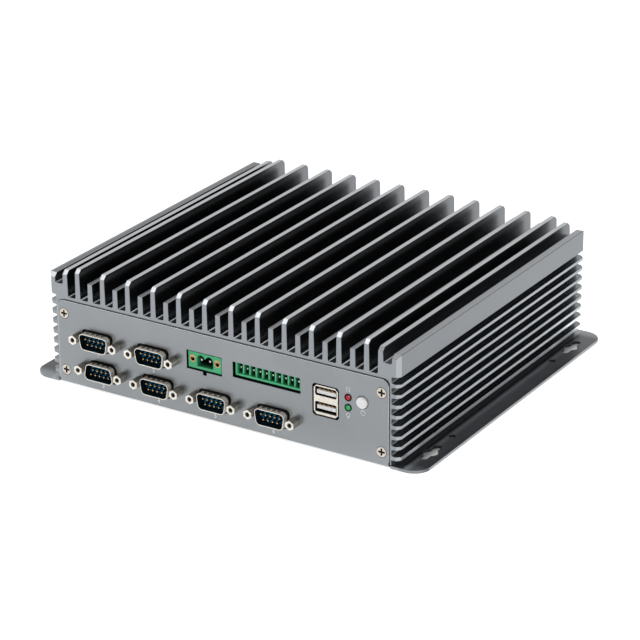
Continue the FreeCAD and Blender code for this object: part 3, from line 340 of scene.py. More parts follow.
def panelFinish():
    # satin coat on folded sheet: fine grain, faint clouding, paler along cut edges, painted shade
    # on the flanges and behind the openings
    shades = Finish("satin grey coat", metallic=greyCoat["metallic"])
    grain = shades.noise(greyCoat["grainScale"], 2.0)
    cloud = shades.noise(greyCoat["cloudScale"], 4.0)
    x, y, z = shades.axes()
    patches = shades.step(cloud, *greyCoat["cloudFrom"])
    shade = shades.mix(patches, greyCoat["base"], greyCoat["pale"])
    end = shades.step(abs(y), *greyCoat["endFrom"])
    flange = shades.mix(end, greyCoat["flange"], greyCoat["flangeEnd"])
    shade = shades.mix(abs(x) > greyCoat["flangeFrom"], shade, flange)
    cut = shades.step(abs(x), *greyCoat["cutFrom"])
    shade = shades.mix(cut * greyCoat["cutShare"], shade, greyCoat["cutEdge"])
    side = (abs(x) > greyCoat["panelSide"]) * (z > greyCoat["panelFoot"])
    shade = shades.mix((z > greyCoat["panelTop"]) + side, shade, greyCoat["panelEdge"])
    window = (abs(x) < greyCoat["windowSide"]) * (z < greyCoat["windowTop"])
    window = window * (z > greyCoat["windowFoot"])
    # painted shade behind the openings
    inside = shades.step(abs(y), *greyCoat["insideFrom"]) * window
    shades.set("baseColor", shades.mix(inside, shade, greyCoat["inside"]))
    shades.set("roughness", greyCoat["roughness"] + (grain - 0.5) * greyCoat["grainWear"]
               + (cloud - 0.5) * greyCoat["cloudWear"])
    shades.set("normal", shades.bump(grain, greyCoat["relief"], greyCoat["grainDepth"]))
    return shades.material


finCoat = {
    "face": (0.280, 0.299, 0.320),         # sawn ends and the smooth band
    "endFacing": (0.4, 0.7),
    "band": (0.212, 0.226, 0.240),
    "bandFrom": 47.5 * mm,
    # painted light: the fin tops paler than their faces
    "tip": (0.420, 0.434, 0.450),
    "rimTip": (0.262, 0.274, 0.286),
    "channel": (0.085, 0.090, 0.096),      # painted shade between the fins, lighter towards their ends
    "channelEnd": (0.180, 0.190, 0.200),
    "endFrom": (78 * mm, 98 * mm),
    "root": (0.34, 0.35, 0.36),            # painted highlight: a pale line at the foot of each fin
    "rootFacing": (0.12, 0.26),
    "rootTop": 52 * mm,
    "sideTip": (0.345, 0.368, 0.392),      # outer faces of the fins down each side
    "sideLow": (0.84, 0.88, 0.92),         # and paler over the flanges
    "lowBetween": (22 * mm, 6 * mm),
    "bareTopHighlight": (0.54, 0.57, 0.60),         # bevels milled after coating, paler still as painted highlight, on the tops and the sides
    "bareLastShaded": (0.20, 0.21, 0.22),        # painted shade: duller on the step and the rim at the right
    "lastFrom": 88 * mm,
    "bareSideHighlight": (0.38, 0.40, 0.42),
    "bevelFacing": (0.30, 0.42),
    "bevelHigh": 2 * mm,
    "bevelDeep": 3 * mm,
    "flatFrom": (0.78, 0.95),              # painted shade: dark again where an edge turns over
    # painted shade on the inner part of the left rim's top
    "rimInnerShadow": (0.130, 0.137, 0.145),
    "innerTo": 104.4 * mm,
    "seam": (0.06, 0.063, 0.067),
    "seamFrom": 105.15 * mm,
    "patch": (0.30, 0.315, 0.33),
    "patchFrom": 0.4,
    "patchShare": 0.25,
    "roughness": 0.33,
    "channelRoughness": 0.27,
    "shortTop": 58.9 * mm,
    "rimTop": 60.9 * mm,
    "rimFrom": 101 * mm,
    "sideFace": 105.35 * mm,
    "dieScale": 900,
    "dieStretch": (1, 0.02, 1),
    "dieWear": 0.12,
    "grainScale": 2400,
    "grainDepth": 0.012 * mm,
    "grainWear": 0.05,
    "grainShare": 0.6,
    "relief": 0.3,
    "cloudScale": 22,
}


def housingFinish():
    # an anodised extrusion: die lines along it, painted light on its tips, bare bevels at its ends
    # with painted highlight, and painted shade between the fins
    shades = Finish("anodised extrusion", metallic=1.0)
    x, y, z = shades.axes()
    nx, ny, nz = shades.facing()
    drawn = shades.noise(finCoat["dieScale"], 3.0, 0.6, finCoat["dieStretch"])
    grain = shades.noise(finCoat["grainScale"], 2.0)
    cloud = shades.noise(finCoat["cloudScale"], 4.0)

    # its areas
    top = shades.step(nz, *finCoat["flatFrom"]) * (z > finCoat["shortTop"])
    rim = top * (abs(x) > finCoat["rimFrom"]) * (z < finCoat["rimTop"])
    rimLeftShadow = rim * (x < 0) * (abs(x) < finCoat["innerTo"])
    seam = rim * (abs(x) > finCoat["seamFrom"])
    side = (abs(x) > finCoat["sideFace"]) * shades.step(abs(nx), *finCoat["flatFrom"])
    end = shades.step(abs(ny), *finCoat["endFacing"])
    outer = shades.node("ShaderNodeMath", {"operation": "MAXIMUM", "use_clamp": True},
                        {0: top + side, 1: end})
    # painted highlight along the foot of each fin
    root = shades.step(abs(nx) * nz, *finCoat["rootFacing"]) * (z < finCoat["rootTop"])
    root = root * (abs(x) < finCoat["rimFrom"])
    bevelTop = shades.step(abs(ny) * nz, *finCoat["bevelFacing"])
    bevelTop = bevelTop * (z > finCoat["shortTop"] - finCoat["bevelHigh"])
    bevelSide = shades.step(abs(ny) * abs(nx), *finCoat["bevelFacing"])
    bevelSide = bevelSide * (abs(x) > finCoat["sideFace"] - finCoat["bevelDeep"])

    # their colours, from the general to the particular
    # painted shade in the channels, lighter towards the ends of the fins
    nearEnd = shades.step(abs(y), *finCoat["endFrom"])
    channel = shades.mix(nearEnd, finCoat["channel"], finCoat["channelEnd"])
    # bare bevels with painted highlight, and painted shade on those at the right
    bare = shades.mix(x > finCoat["lastFrom"], finCoat["bareTopHighlight"], finCoat["bareLastShaded"])
    low = shades.step(z, *finCoat["lowBetween"])
    outside = shades.mix(low, finCoat["sideTip"], finCoat["sideLow"])
    outside = shades.mix(z > finCoat["bandFrom"], outside, finCoat["band"])
    shade = shades.mix(side, finCoat["face"], outside)
    # painted light on the fin tops
    shade = shades.mix(top, shade, finCoat["tip"])
    shade = shades.mix(rim, shade, finCoat["rimTip"])
    # painted shade on the left rim's inner part
    shade = shades.mix(rimLeftShadow, shade, finCoat["rimInnerShadow"])
    patches = (cloud - finCoat["patchFrom"]) * finCoat["patchShare"]
    shade = shades.mix(patches, shade, finCoat["patch"])
    shade = shades.mix(outer, shades.mix(root, channel, finCoat["root"]), shade)
    shade = shades.mix(bevelTop, shade, bare)
    shade = shades.mix(bevelSide, shade, finCoat["bareSideHighlight"])
    shades.set("baseColor", shades.mix(seam, shade, finCoat["seam"]))
    rougher = finCoat["roughness"] - finCoat["channelRoughness"]
    wear = rougher + (drawn - 0.5) * finCoat["dieWear"] + (grain - 0.5) * finCoat["grainWear"]
    shades.set("roughness", finCoat["channelRoughness"] + outer * wear)
    height = (drawn + grain * finCoat["grainShare"]) * outer
    shades.set("normal", shades.bump(height, finCoat["relief"], finCoat["grainDepth"]))
    return shades.material


metalGrain = {
    "wornFrom": (0.38, 0.68),
    "wear": 0.14,
    "relief": 0.2,
    "depth": 0.01 * mm,
    "lineScale": 900,                      # turning lines along a post
    "lineStretch": (1, 0.04, 1),
    "lineFrom": (0.35, 0.65),
    "lineShare": 0.45,
    "flankFacing": (0.75, 0.5),
    "litFacing": (0.15, 0.65),
    "holeEdge": 0.3 * mm,
    "holeShare": 0.06,
}


def metalFinish(name, base, worn, roughness, scale=700, metallic=1.0,
                paintedShadeBehind=None, shadedFlank=None, lit=None):
    # plated or turned metal; where asked, painted shade past a depth where it sits in a hole,
    # painted shade on its flanks, and painted light on its upward faces
    shades = Finish(name, metallic=metallic)
    spots = shades.noise(scale, 4.0, 0.6)
    shade = shades.mix(shades.step(spots, *metalGrain["wornFrom"]), base, worn)
    # painted shade: flanks darker than the front face, with turning lines along them
    if shadedFlank:
        lines = shades.noise(metalGrain["lineScale"], 3.0, 0.6, metalGrain["lineStretch"])
        lines = shades.step(lines, *metalGrain["lineFrom"])
        sides = shades.mix(lines, shadedFlank, dimmed(shadedFlank, metalGrain["lineShare"]))
        turned = shades.step(abs(shades.facing()[1]), *metalGrain["flankFacing"])
        shade = shades.mix(turned, shade, sides)
    if lit:
        shade = shades.mix(shades.step(shades.facing()[2], *metalGrain["litFacing"]), shade, lit)
    # painted shade past the depth where it sits in a hole
    if paintedShadeBehind:
        depth = abs(shades.axes()[1])
        hidden = shades.step(depth, paintedShadeBehind, paintedShadeBehind - metalGrain["holeEdge"])
        shade = shades.mix(hidden, shade, dimmed(base, metalGrain["holeShare"]))
    shades.set("baseColor", shade)
    shades.set("roughness", roughness + (spots - 0.5) * metalGrain["wear"])
    shades.set("normal", shades.bump(spots, metalGrain["relief"], metalGrain["depth"]))
    return shades.material


mouldGrain = {
    "scale": 1500,
    "wear": 0.12,
    "relief": 0.25,
    "depth": 0.012 * mm,
    "broadScale": 90,
    "broadFrom": (0.3, 0.7),
}


def mouldedSkin(shades, base, shadow, roughness):
    # the grain of a moulding, and its colour before anything darkens it
    spots = shades.noise(mouldGrain["scale"])
    broad = shades.noise(mouldGrain["broadScale"])
    shades.set("roughness", roughness + (spots - 0.5) * mouldGrain["wear"])
    shades.set("normal", shades.bump(spots, mouldGrain["relief"], mouldGrain["depth"]))
    return shades.mix(shades.step(broad, *mouldGrain["broadFrom"]), base, shadow)


def plasticFinish(name, base, shadow, roughness, coat=0.0, specular=0.5):
    shades = Finish(name, coatWeight=coat, coatRoughness=0.12, specularIorLevel=specular)
    shades.set("baseColor", mouldedSkin(shades, base, shadow, roughness))
    return shades.material


headerGreens = {
    "power_header": {
        "face": (0.062, 0.470, 0.205),
        "fadeFrom": 98.4 * mm,
        "fadeTo": 92.5 * mm,
        "top": 36.2 * mm,
        "foot": 27.4 * mm,
    },
    "signal_header": {
        "face": (0.090, 0.570, 0.265),
        "fadeFrom": 96.7 * mm,
        "fadeTo": 93.4 * mm,
        "top": 36.0 * mm,
        "foot": 28.9 * mm,
    },
}
hollow = {
    "faceShare": 0.88,
    "wallShare": 0.72,
    "darkShare": 0.06,
    "edge": 0.3 * mm,
    "litFacing": (0.4, 0.8),
    "outside": (0.002, 0.006, 0.003),      # painted shade: near black on the header's top and foot, like the gap round it
    "roughness": 0.40,
}


def headerFinish(node):
    # its walls catch some light at the mouth of each hollow and fade with depth
    facts = headerGreens[node]
    shades = Finish(node + " green", specularIorLevel=0.35)
    x, y, z = shades.axes()
    nx, ny, nz = shades.facing()
    clouded = dimmed(facts["face"], hollow["faceShare"])
    shade = mouldedSkin(shades, facts["face"], clouded, hollow["roughness"])
    wall = dimmed(facts["face"], hollow["wallShare"])
    dark = dimmed(facts["face"], hollow["darkShare"])
    within = shades.step(abs(y), facts["fadeFrom"], facts["fadeFrom"] - hollow["edge"])
    fade = shades.step(abs(y), facts["fadeFrom"], facts["fadeTo"])
    turned = shades.step(nx + nz, *hollow["litFacing"])
    walls = shades.mix(turned, dark, shades.mix(fade, wall, dark))
    shade = shades.mix(within, shade, walls)
    # painted shade over the top and the foot of the header
    shadedTopAndFoot = (z > facts["top"]) + (z < facts["foot"])
    shades.set("baseColor", shades.mix(shadedTopAndFoot, shade, hollow["outside"]))
    return shades.material


lens = {
    "scale": 1200,
    "cloudShare": 0.5,
    "roughness": 0.14,
    "wear": 0.08,
    "relief": 0.1,
    "sparkAt": (0.34, -0.86, 0.38),        # where the painted highlight, a small bright spot, sits
    "sparkEdge": (0.975, 0.99),
    "paintedGlint": (0.75, 0.80, 0.78),
    "sparkShare": 0.7,
    "depth": 0.01 * mm,
}


def lampFinish(name, base, glow):
    # a tinted lens with a paler cloud and a painted highlight: a small bright spot in it
    shades = Finish(name, coatWeight=0.25, coatRoughness=0.04, specularIorLevel=0.2)
    spots = shades.noise(lens["scale"])
    paintedGlint = shades.step(shades.towards(shades.normal(), lens["sparkAt"]), *lens["sparkEdge"])
    shade = shades.mix(spots * lens["cloudShare"], base, glow)
    shades.set("baseColor", shades.mix(paintedGlint * lens["sparkShare"], shade, lens["paintedGlint"]))
    shades.set("roughness", lens["roughness"] + spots * lens["wear"])
    shades.set("normal", shades.bump(spots, lens["relief"], lens["depth"]))
    return shades.material


finishes = {                               # by the material slot of each node
    "panel_paint": panelFinish(),
    "fin_aluminium": housingFinish(),
    "screw_plate": metalFinish("nickel screw", (0.66, 0.60, 0.53), (0.56, 0.51, 0.44), 0.26,
                               metallic=0.9, paintedShadeBehind=98.85 * mm),
    "port_plate": metalFinish("nickel port", (0.88, 0.83, 0.75), (0.74, 0.70, 0.63), 0.32,
                              metallic=0.55, paintedShadeBehind=100.1 * mm),
    "socket_plate": metalFinish("tinned socket", (0.77, 0.72, 0.65), (0.67, 0.62, 0.55), 0.28,
                                metallic=0.92, paintedShadeBehind=98.3 * mm),
    "gold_contact": metalFinish("gold contact", (0.90, 0.50, 0.18), (0.72, 0.38, 0.12), 0.24),
    "insert_brass": metalFinish("turned brass", (0.58, 0.34, 0.16), (0.44, 0.25, 0.11), 0.30),
    "tin_pin": metalFinish("tinned pin", (0.55, 0.54, 0.52), (0.42, 0.41, 0.39), 0.30),
    "chip_plate": metalFinish("lidded chip", (0.42, 0.42, 0.43), (0.34, 0.34, 0.35), 0.40),
    "drive_case": metalFinish("drive case", (0.55, 0.55, 0.56), (0.48, 0.48, 0.49), 0.42, 300),
    "insulator_dark": plasticFinish("port insulator", (0.026, 0.200, 0.370), (0.018, 0.140, 0.260),
                                    0.45, specular=0.06),
    "header_green": headerFinish("power_header"),
    "tongue_white": plasticFinish("socket tongue", (0.84, 0.84, 0.83), (0.76, 0.76, 0.75), 0.40),
    "button_white": plasticFinish("button cap", (0.86, 0.86, 0.86), (0.82, 0.82, 0.82), 0.30,
                                  coat=0.3),
    "black_plastic": plasticFinish("black moulding", (0.008, 0.008, 0.009), (0.012, 0.012, 0.013),
                                   0.42, specular=0.15),
    "board_green": plasticFinish("board", (0.010, 0.090, 0.040), (0.016, 0.120, 0.055), 0.35,
                                 coat=0.4),
    "pad_rubber": plasticFinish("thermal pad", (0.30, 0.38, 0.46), (0.24, 0.31, 0.39), 0.75),
    "lamp_red": lampFinish("red lens", (0.46, 0.004, 0.012), (0.70, 0.014, 0.022)),
    "lamp_green": lampFinish("green lens", (0.010, 0.38, 0.090), (0.03, 0.60, 0.17)),
}
ownFinishes = {                            # of single nodes and details
    "jackscrews": metalFinish("turned nickel", (0.88, 0.85, 0.78), (0.74, 0.72, 0.66), 0.30,
                              metallic=0.72, paintedShadeBehind=98.85 * mm, shadedFlank=(0.58, 0.56, 0.50)),
    "serial_pins": metalFinish("gold pin", (0.90, 0.50, 0.18), (0.72, 0.38, 0.12), 0.24,
                               paintedShadeBehind=102.2 * mm),
    "shade": metalFinish("nickel in shadow", (0.09, 0.085, 0.077), (0.06, 0.056, 0.050), 0.36),
    "thread": metalFinish("thread in shadow", (0.10, 0.095, 0.085), (0.06, 0.057, 0.05), 0.35,
                          metallic=0.5, lit=(0.92, 0.86, 0.74)),
    "print": plasticFinish("pale print", (0.76, 0.77, 0.78), (0.70, 0.71, 0.72), 0.55,
                           specular=0.3),
    "signal_header": headerFinish("signal_header"),
}
print("finishes made:", len(finishes) + len(ownFinishes))

slotOf = {part["node"]: part["material_slot"] for part in frame["record"]["subparts"]}


def finishOf(node):
    # six sets of serial pins share one finish
    kind = "serial_pins" if node.startswith("serial_pins") else node
    return ownFinishes.get(kind, finishes[slotOf[node]])


def dressNode(node):
    # a solid that is right as it is takes only a better finish
    mesh = frame["nodes"][node].data
    mesh.materials.clear()
    mesh.materials.append(finishOf(node))


def settle(piece, name, node, finish=None):
    # the end of every piece: its name, finish and body
    clearSelection()
    piece.name = name
    piece.data.name = name
    piece.data.materials.clear()
    piece.data.materials.append(finish or finishOf(node))
    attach(piece, frame["nodes"][node]["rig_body"])
    return piece


def applied(piece, kind, **settings):
    # adds a modifier and applies it
    bpy.context.view_layer.objects.active = piece
    change = piece.modifiers.new("change", kind)
    for key, value in settings.items():
        setattr(change, key, value)
    bpy.ops.object.modifier_apply(modifier="change")


def joined(pieces):
    clearSelection()
    for piece in pieces:
        piece.select_set(True)
    bpy.context.view_layer.objects.active = pieces[0]
    bpy.ops.object.join()
    clearSelection()
    return pieces[0]


def copied(piece, places):
    # the first stays where it is, and each copy has its own mesh
    made = [piece]
    for place in places:
        twin = piece.copy()
        twin.data = piece.data.copy()
        scene.collection.objects.link(twin)
        twin.data.transform(Matrix.Translation(Vector(place)))
        made.append(twin)
    return made


weld = {
    "doubles": 0.001 * mm,
    "flat": math.radians(0.4),
}


def mergedCopy(node):
    # a solid comes as loose triangles, so its copy is welded and its flat faces made whole
    clearSelection()
    piece = frame["nodes"][node].copy()
    piece.data = frame["nodes"][node].data.copy()
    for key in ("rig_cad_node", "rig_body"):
        if key in piece:
            del piece[key]
    piece.parent = None
    scene.collection.objects.link(piece)
    piece.select_set(True)
    bpy.context.view_layer.objects.active = piece
    bpy.ops.object.mode_set(mode="EDIT")
    bpy.ops.mesh.select_all(action="SELECT")
    bpy.ops.mesh.remove_doubles(threshold=weld["doubles"])
    bpy.ops.mesh.dissolve_limited(angle_limit=weld["flat"])
    bpy.ops.object.mode_set(mode="OBJECT")
    return piece


def softened(piece, width, sharp=30):
    # edges that catch the light, while flat faces stay flat
    clearSelection()
    piece.select_set(True)
    applied(piece, "BEVEL", width=width, segments=2, limit_method="ANGLE",
            angle_limit=math.radians(sharp), use_clamp_overlap=True, harden_normals=False)
    bpy.ops.object.shade_smooth_by_angle(angle=math.radians(40))
    applied(piece, "WEIGHTED_NORMAL", keep_sharp=True, weight=100)
    return piece


def softenNode(node, width, shape=None):
    piece = mergedCopy(node)
    if shape:
        shape(piece)
    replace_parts(settle(softened(piece, width), node + "_finished", node), node)


def cutAway(piece, tool):
    clearSelection()
    piece.select_set(True)
    applied(piece, "BOOLEAN", object=tool, operation="DIFFERENCE", solver="EXACT")
    bpy.data.objects.remove(tool)


def block(wide, deep, high, x, y, z):
    clearSelection()
    bpy.ops.mesh.primitive_cube_add(size=1, location=(x, y, z), scale=(wide, deep, high))
    bpy.ops.object.transform_apply(location=True, scale=True)
    return bpy.context.object


def choose(piece, test, parts="vertices"):
    # selects what passes a test, and leaves edit mode open
    clearSelection()
    bpy.context.view_layer.objects.active = piece
    piece.select_set(True)
    bpy.ops.object.mode_set(mode="EDIT")
    bpy.ops.mesh.select_mode(type={"vertices": "VERT", "edges": "EDGE"}[parts])
    bpy.ops.mesh.select_all(action="DESELECT")
    bpy.ops.object.mode_set(mode="OBJECT")
    for part in getattr(piece.data, parts):
        if test(part):
            part.select = True
    bpy.ops.object.mode_set(mode="EDIT")


def drawRound(piece, spots, band, beyond=0, face=-1):
    # scales a band round each spot, on the front of the case or its back
    low, high, scale = band
    for x, z in spots:
        choose(piece, lambda point: low < math.hypot(point.co.x - x, point.co.z - z) < high
               and point.co.y * face > beyond)
        bpy.ops.transform.resize(value=(scale, 1, scale), center_override=(x, 0, z))
        bpy.ops.object.mode_set(mode="OBJECT")


softEdges = {                              # how wide each solid's edges are rounded
    "heatsink_housing": 0.36 * mm,
    "chassis_tray": 0.07 * mm,
    "power_header": 0.12 * mm,
    "power_header_inserts": 0.08 * mm,
    "led_holders": 0.08 * mm,
    "signal_header": 0.10 * mm,
    "usb_front_shell": 0.15 * mm,
    "usb_rear_shell": 0.15 * mm,
    "usb_front_tongues": 0.25 * mm,
    "usb_rear_tongues": 0.25 * mm,
    "panel_screws": 0.10 * mm,
    "jackscrews": 0.30 * mm,
    "power_button": 0.35 * mm,
}
ports = {                                  # the middle of each serial port, across and up
    1: (-74.95 * mm, 28.1 * mm),
    2: (-39.85 * mm, 28.1 * mm),
    3: (-72.25 * mm, 11.7 * mm),
    4: (-37.15 * mm, 11.7 * mm),
    5: (-2.05 * mm, 11.7 * mm),
    6: (33.05 * mm, 11.7 * mm),
}
for index in ports:
    softEdges["serial_pins_%d" % index] = 0.42 * mm

insert = {
    "spots": ((-15.5 * mm, 31.8 * mm), (-0.5 * mm, 31.8 * mm)),
    "band": (1.6 * mm, 2.5 * mm, 0.79),    # from, to and scale: a slimmer ring and its hole
}
lampHolder = {
    "spots": ((76.9 * mm, 32.7 * mm), (76.9 * mm, 27.25 * mm)),
    "band": (1.9 * mm, 2.5 * mm, 0.90),
    "panelFrom": 96 * mm,
}
panelScrew = {
    "spots": [(side * 95.9 * mm, z * mm) for side in (-1, 1) for z in (7.75, 39.6)],
    "rim": (2.6 * mm, 3.4 * mm, 0.9),      # the head's edge, drawn in from its countersink
    "cross": (0, 2.2 * mm, 1.12),
    "headFrom": 97.2 * mm,
}
panelCut = {
    "deep": 3 * mm,
    "middle": -98.5 * mm,
}
opening = {                                # cut in the panel round each serial port
    "wide": 20.6 * mm,
    "high": 11.1 * mm,
    "round": 3.1 * mm,
    "lean": math.tan(math.radians(10)),
    "turned": 3,                           # this port stands upside down
}
headerGaps = {                             # middle across and up, width and height
    "power": (-8.22 * mm, 31.58 * mm, 21.5 * mm, 10.3 * mm),
    "signal": (29.15 * mm, 32.2 * mm, 40.3 * mm, 8.5 * mm),
}
lowerMouth = {                             # of the front socket stack
    "size": (12.5 * mm, 13 * mm, 2 * mm),
    "middle": (63.9 * mm, -92.9 * mm, 21.85 * mm),
}


def openingTool(index):
    # a block with its sides leaning in and its long edges rounded
    x, z = ports[index]
    tool = block(opening["wide"], panelCut["deep"], opening["high"], x, panelCut["middle"], z)
    down = 1 if index == opening["turned"] else -1
    narrow = 1 - 2 * opening["high"] * opening["lean"] / opening["wide"]
    choose(tool, lambda point: (point.co.z - z) * down > 0)
    bpy.ops.transform.resize(value=(narrow, 1, 1), center_override=(x, 0, z))
    bpy.ops.object.mode_set(mode="OBJECT")

    def runsThrough(edge):
        first, last = (tool.data.vertices[i].co.y for i in edge.vertices)
        return abs(first - last) > panelCut["deep"] / 2

    choose(tool, runsThrough, "edges")
    bpy.ops.mesh.bevel(offset=opening["round"], segments=6)
    bpy.ops.object.mode_set(mode="OBJECT")
    return tool


def widenOpenings(piece):
    tools = [openingTool(index) for index in ports]
    for x, z, wide, high in headerGaps.values():
        tools.append(block(wide, panelCut["deep"], high, x, panelCut["middle"], z))
    for tool in tools:
        cutAway(piece, tool)
    drawRound(piece, lampHolder["spots"], lampHolder["band"], lampHolder["panelFrom"])


def seatScrews(piece):
    for face in (-1, 1):
        for band in ("rim", "cross"):
            drawRound(piece, panelScrew["spots"], panelScrew[band], panelScrew["headFrom"], face)


def openSocket(piece):
    # the lower mouth reaches nearly to the foot of the shell
    cutAway(piece, block(*lowerMouth["size"], *lowerMouth["middle"]))


def drawInserts(piece):
    drawRound(piece, insert["spots"], insert["band"])


def drawHolders(piece):
    drawRound(piece, lampHolder["spots"], lampHolder["band"])


shaping = {
    "chassis_tray": widenOpenings,
    "panel_screws": seatScrews,
    "usb_front_shell": openSocket,
    "power_header": drawInserts,
    "power_header_inserts": drawInserts,
    "led_holders": drawHolders,
}

shell = {
    "soft": 0.16 * mm,
    "softFrom": 35,                        # degrees
    "dimples": 4,                          # pressed into each long side
    "dimpleStep": 3.1 * mm,
    "dimpleRound": 1.25 * mm,
    "dimpleSink": 0.40 * mm,
    "dimpleBack": 2.5 * mm,                # behind the shell's rim
    "dimpleSide": 6.5 * mm,
    "dimpleLip": 0.08 * mm,
    "rimFront": -103.2 * mm,
    "halfHigh": 4.55 * mm,
    "panelFace": -99 * mm,
}


def dimpleTool(x, z):
    # balls that press the dimples, above and below one port
    high = shell["halfHigh"] + shell["dimpleRound"] - shell["dimpleSink"]
    first = x - shell["dimpleStep"] * (shell["dimples"] - 1) / 2
    place = (first, shell["rimFront"] + shell["dimpleBack"], z + high)
    clearSelection()
    bpy.ops.mesh.primitive_uv_sphere_add(segments=20, ring_count=10, radius=shell["dimpleRound"],
                                         location=place)
    bpy.ops.object.transform_apply(location=True)
    steps = [(shell["dimpleStep"] * i, 0, -2 * high * j)
             for j in (0, 1) for i in range(shell["dimples"])]
    return joined(copied(bpy.context.object, steps[1:]))


def portShell(index):
    x, z = ports[index]
    node = "serial_shell_%d" % index
    piece = mergedCopy(node)
    cutAway(piece, dimpleTool(x, z))
    softened(piece, shell["soft"], shell["softFrom"])
    settle(piece, node + "_finished", node)
    piece.data.materials.append(ownFinishes["shade"])
    for face in piece.data.polygons:       # inside, and in the dimples, it lies in shadow
        across, high = face.center.x - x, face.center.z - z
        outward = across * face.normal.x + high * face.normal.z
        dimple = outward > 0 and (abs(across) < shell["dimpleSide"]
                                  and abs(high) < shell["halfHigh"] - shell["dimpleLip"])
        wall = face.center.y < shell["panelFace"] and abs(face.normal.y) < 0.9
        if wall and (dimple or outward < 0):
            face.material_index = 1
    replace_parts(piece, node)


thread = {
    "radius": 1.16 * mm,
    "ridge": 0.26 * mm,
    "pitch": 0.64 * mm,
    "turns": 5,
    "steps": 18,
    "jackSide": 12.495 * mm,               # from the middle of a serial port
    "jackMouth": -103.7 * mm,
    "insertMouth": -98.2 * mm,
}


def threadedBore(mouth, x, z):
    # a ridge wound down a bore, from its mouth inwards
    clearSelection()
    bpy.ops.mesh.primitive_circle_add(vertices=3, radius=thread["ridge"], fill_type="NGON",
                                      location=(thread["radius"], 0, 0),
                                      rotation=(math.radians(90), 0, 0))
    bpy.ops.object.transform_apply(location=True, rotation=True)
    piece = bpy.context.object
    applied(piece, "SCREW", angle=math.radians(360), screw_offset=thread["pitch"], axis="Z",
            steps=thread["steps"], render_steps=thread["steps"], iterations=thread["turns"],
            use_smooth_shade=True)
    inwards = Matrix.Rotation(math.radians(-90), 4, "X")
    piece.data.transform(Matrix.Translation((x, mouth, z)) @ inwards)
    bpy.ops.object.mode_set(mode="EDIT")
    bpy.ops.mesh.select_all(action="SELECT")
    bpy.ops.mesh.remove_doubles(threshold=weld["doubles"])
    bpy.ops.mesh.normals_make_consistent(inside=False)
    bpy.ops.object.mode_set(mode="OBJECT")
    return piece


def addThreads(name, node, mouth, spots):
    # one thread, copied to every bore of its kind
    x, z = spots[0]
    first = threadedBore(mouth, x, z)
    steps = [(across - x, 0, up - z) for across, up in spots[1:]]
    settle(joined(copied(first, steps)), name, node, ownFinishes["thread"])


marks = {
    "front": -99.01 * mm,                  # the printed face
    "squeeze": 0.05,
    "numberSize": 3.2 * mm,
    "numberWeight": 0.012,                 # as a share of that, and so is the depth
    "numberDeep": 0.03,
    "numberDrop": 8.2 * mm,
    "line": 0.14 * mm,
    "barThick": 0.2 * mm,
    "barSoft": 0.08 * mm,
}
signs = {                                  # rings and bars, in mm from the middle of each sign
    "power": {
        "at": (85.4, 26.4),
        "rings": [{"radius": 1.25, "rise": 0, "drawn": (0.1, 0.9), "turn": -90}],
        "bars": [(0, 0.95, 0.34, 1.3)],    # across, up, width and height
    },
    "storage": {
        "at": (76.9, 37.0),
        "rings": [{"radius": 0.9, "rise": 0.95, "flat": 0.4},
                  {"radius": 0.9, "rise": -0.95, "flat": 0.4}],
        "bars": [(-0.9, 0, 0.26, 1.9), (0.9, 0, 0.26, 1.9)],
    },
    "bulb": {
        "at": (76.9, 22.9),
        "rings": [{"radius": 1.0, "rise": 0.4, "drawn": (0.08, 0.92), "turn": 90}],
        "bars": [(0, -0.85, 0.9, 0.26), (0, -1.35, 0.9, 0.26)],
    },
}


def flatten(piece, x, z):
    # from the drawing plane on to the panel, as a thin print
    clearSelection()
    piece.select_set(True)
    bpy.context.view_layer.objects.active = piece
    bpy.ops.object.convert(target="MESH")
    piece = bpy.context.object
    bpy.ops.object.transform_apply(location=True, rotation=True, scale=True)
    upright = Matrix.Rotation(math.radians(90), 4, "X")
    squeeze = Matrix.Diagonal((1, 1, marks["squeeze"], 1))
    piece.data.transform(Matrix.Translation((x, marks["front"], z)) @ upright @ squeeze)
    return piece


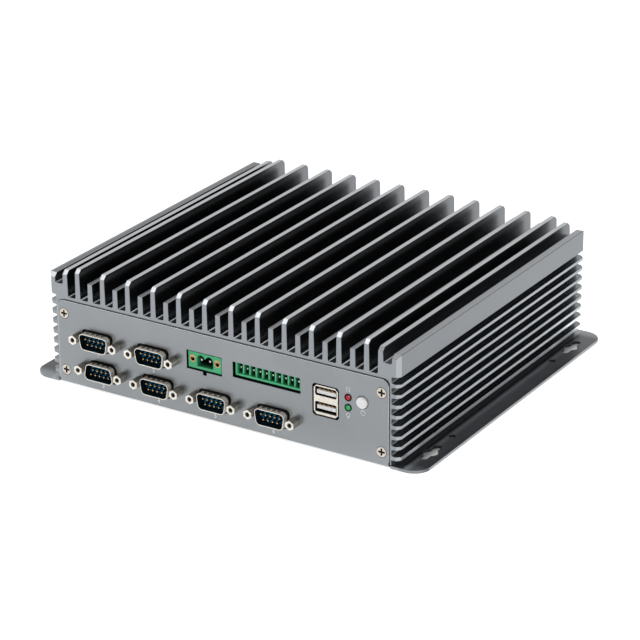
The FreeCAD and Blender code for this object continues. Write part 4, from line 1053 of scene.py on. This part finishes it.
def number(digit, x, z):
    clearSelection()
    bpy.ops.object.text_add()
    text = bpy.context.object
    text.data.body = str(digit)
    text.scale = (marks["numberSize"],) * 3             # a tiny font doesn't fill well
    text.data.align_x = "CENTER"
    text.data.align_y = "CENTER"
    text.data.offset = marks["numberWeight"]
    text.data.extrude = marks["numberDeep"]
    text.data.resolution_u = 3
    return flatten(text, x, z)


def ring(x, z, radius, rise, flat=1, drawn=(0.0, 1.0), turn=0):
    # a printed line round an ellipse, or part of one
    clearSelection()
    bpy.ops.curve.primitive_bezier_circle_add(radius=radius * mm,
                                              rotation=(0, 0, math.radians(turn)))
    line = bpy.context.object
    line.scale = (1, flat, 1)
    line.data.bevel_depth = marks["line"]
    line.data.bevel_resolution = 1
    line.data.resolution_u = 6
    line.data.bevel_factor_start, line.data.bevel_factor_end = drawn
    line.data.use_fill_caps = True
    return flatten(line, x, z + rise * mm)


def bar(wide, high, x, z):
    clearSelection()
    bpy.ops.mesh.primitive_cube_add(size=1, scale=(wide, high, marks["barThick"]))
    bpy.ops.object.transform_apply(scale=True)
    piece = bpy.context.object
    applied(piece, "BEVEL", width=marks["barSoft"], segments=2)
    return flatten(piece, x, z)


def printMarks():
    pieces = [number(digit, x, z - marks["numberDrop"]) for digit, (x, z) in ports.items()]
    for sign in signs.values():
        x, z = (mm * part for part in sign["at"])
        for facts in sign["rings"]:
            pieces.append(ring(x, z, **facts))
        for across, up, wide, high in sign["bars"]:
            pieces.append(bar(wide * mm, high * mm, x + across * mm, z + up * mm))
    settle(joined(pieces), "panel_print", "chassis_tray", ownFinishes["print"])


for index in ports:
    portShell(index)
print("port shells pressed")
jackSpots = [(x + side * thread["jackSide"], z) for x, z in ports.values() for side in (-1, 1)]
addThreads("jack_threads", "jackscrews", thread["jackMouth"], jackSpots)
addThreads("insert_threads", "power_header_inserts", thread["insertMouth"], insert["spots"])
print("bores threaded")
printMarks()
print("panel printed")
for node in frame["nodes"]:
    if node in softEdges:
        softenNode(node, softEdges[node], shaping.get(node))
    elif not node.startswith("serial_shell"):
        dressNode(node)
print("solids finished")
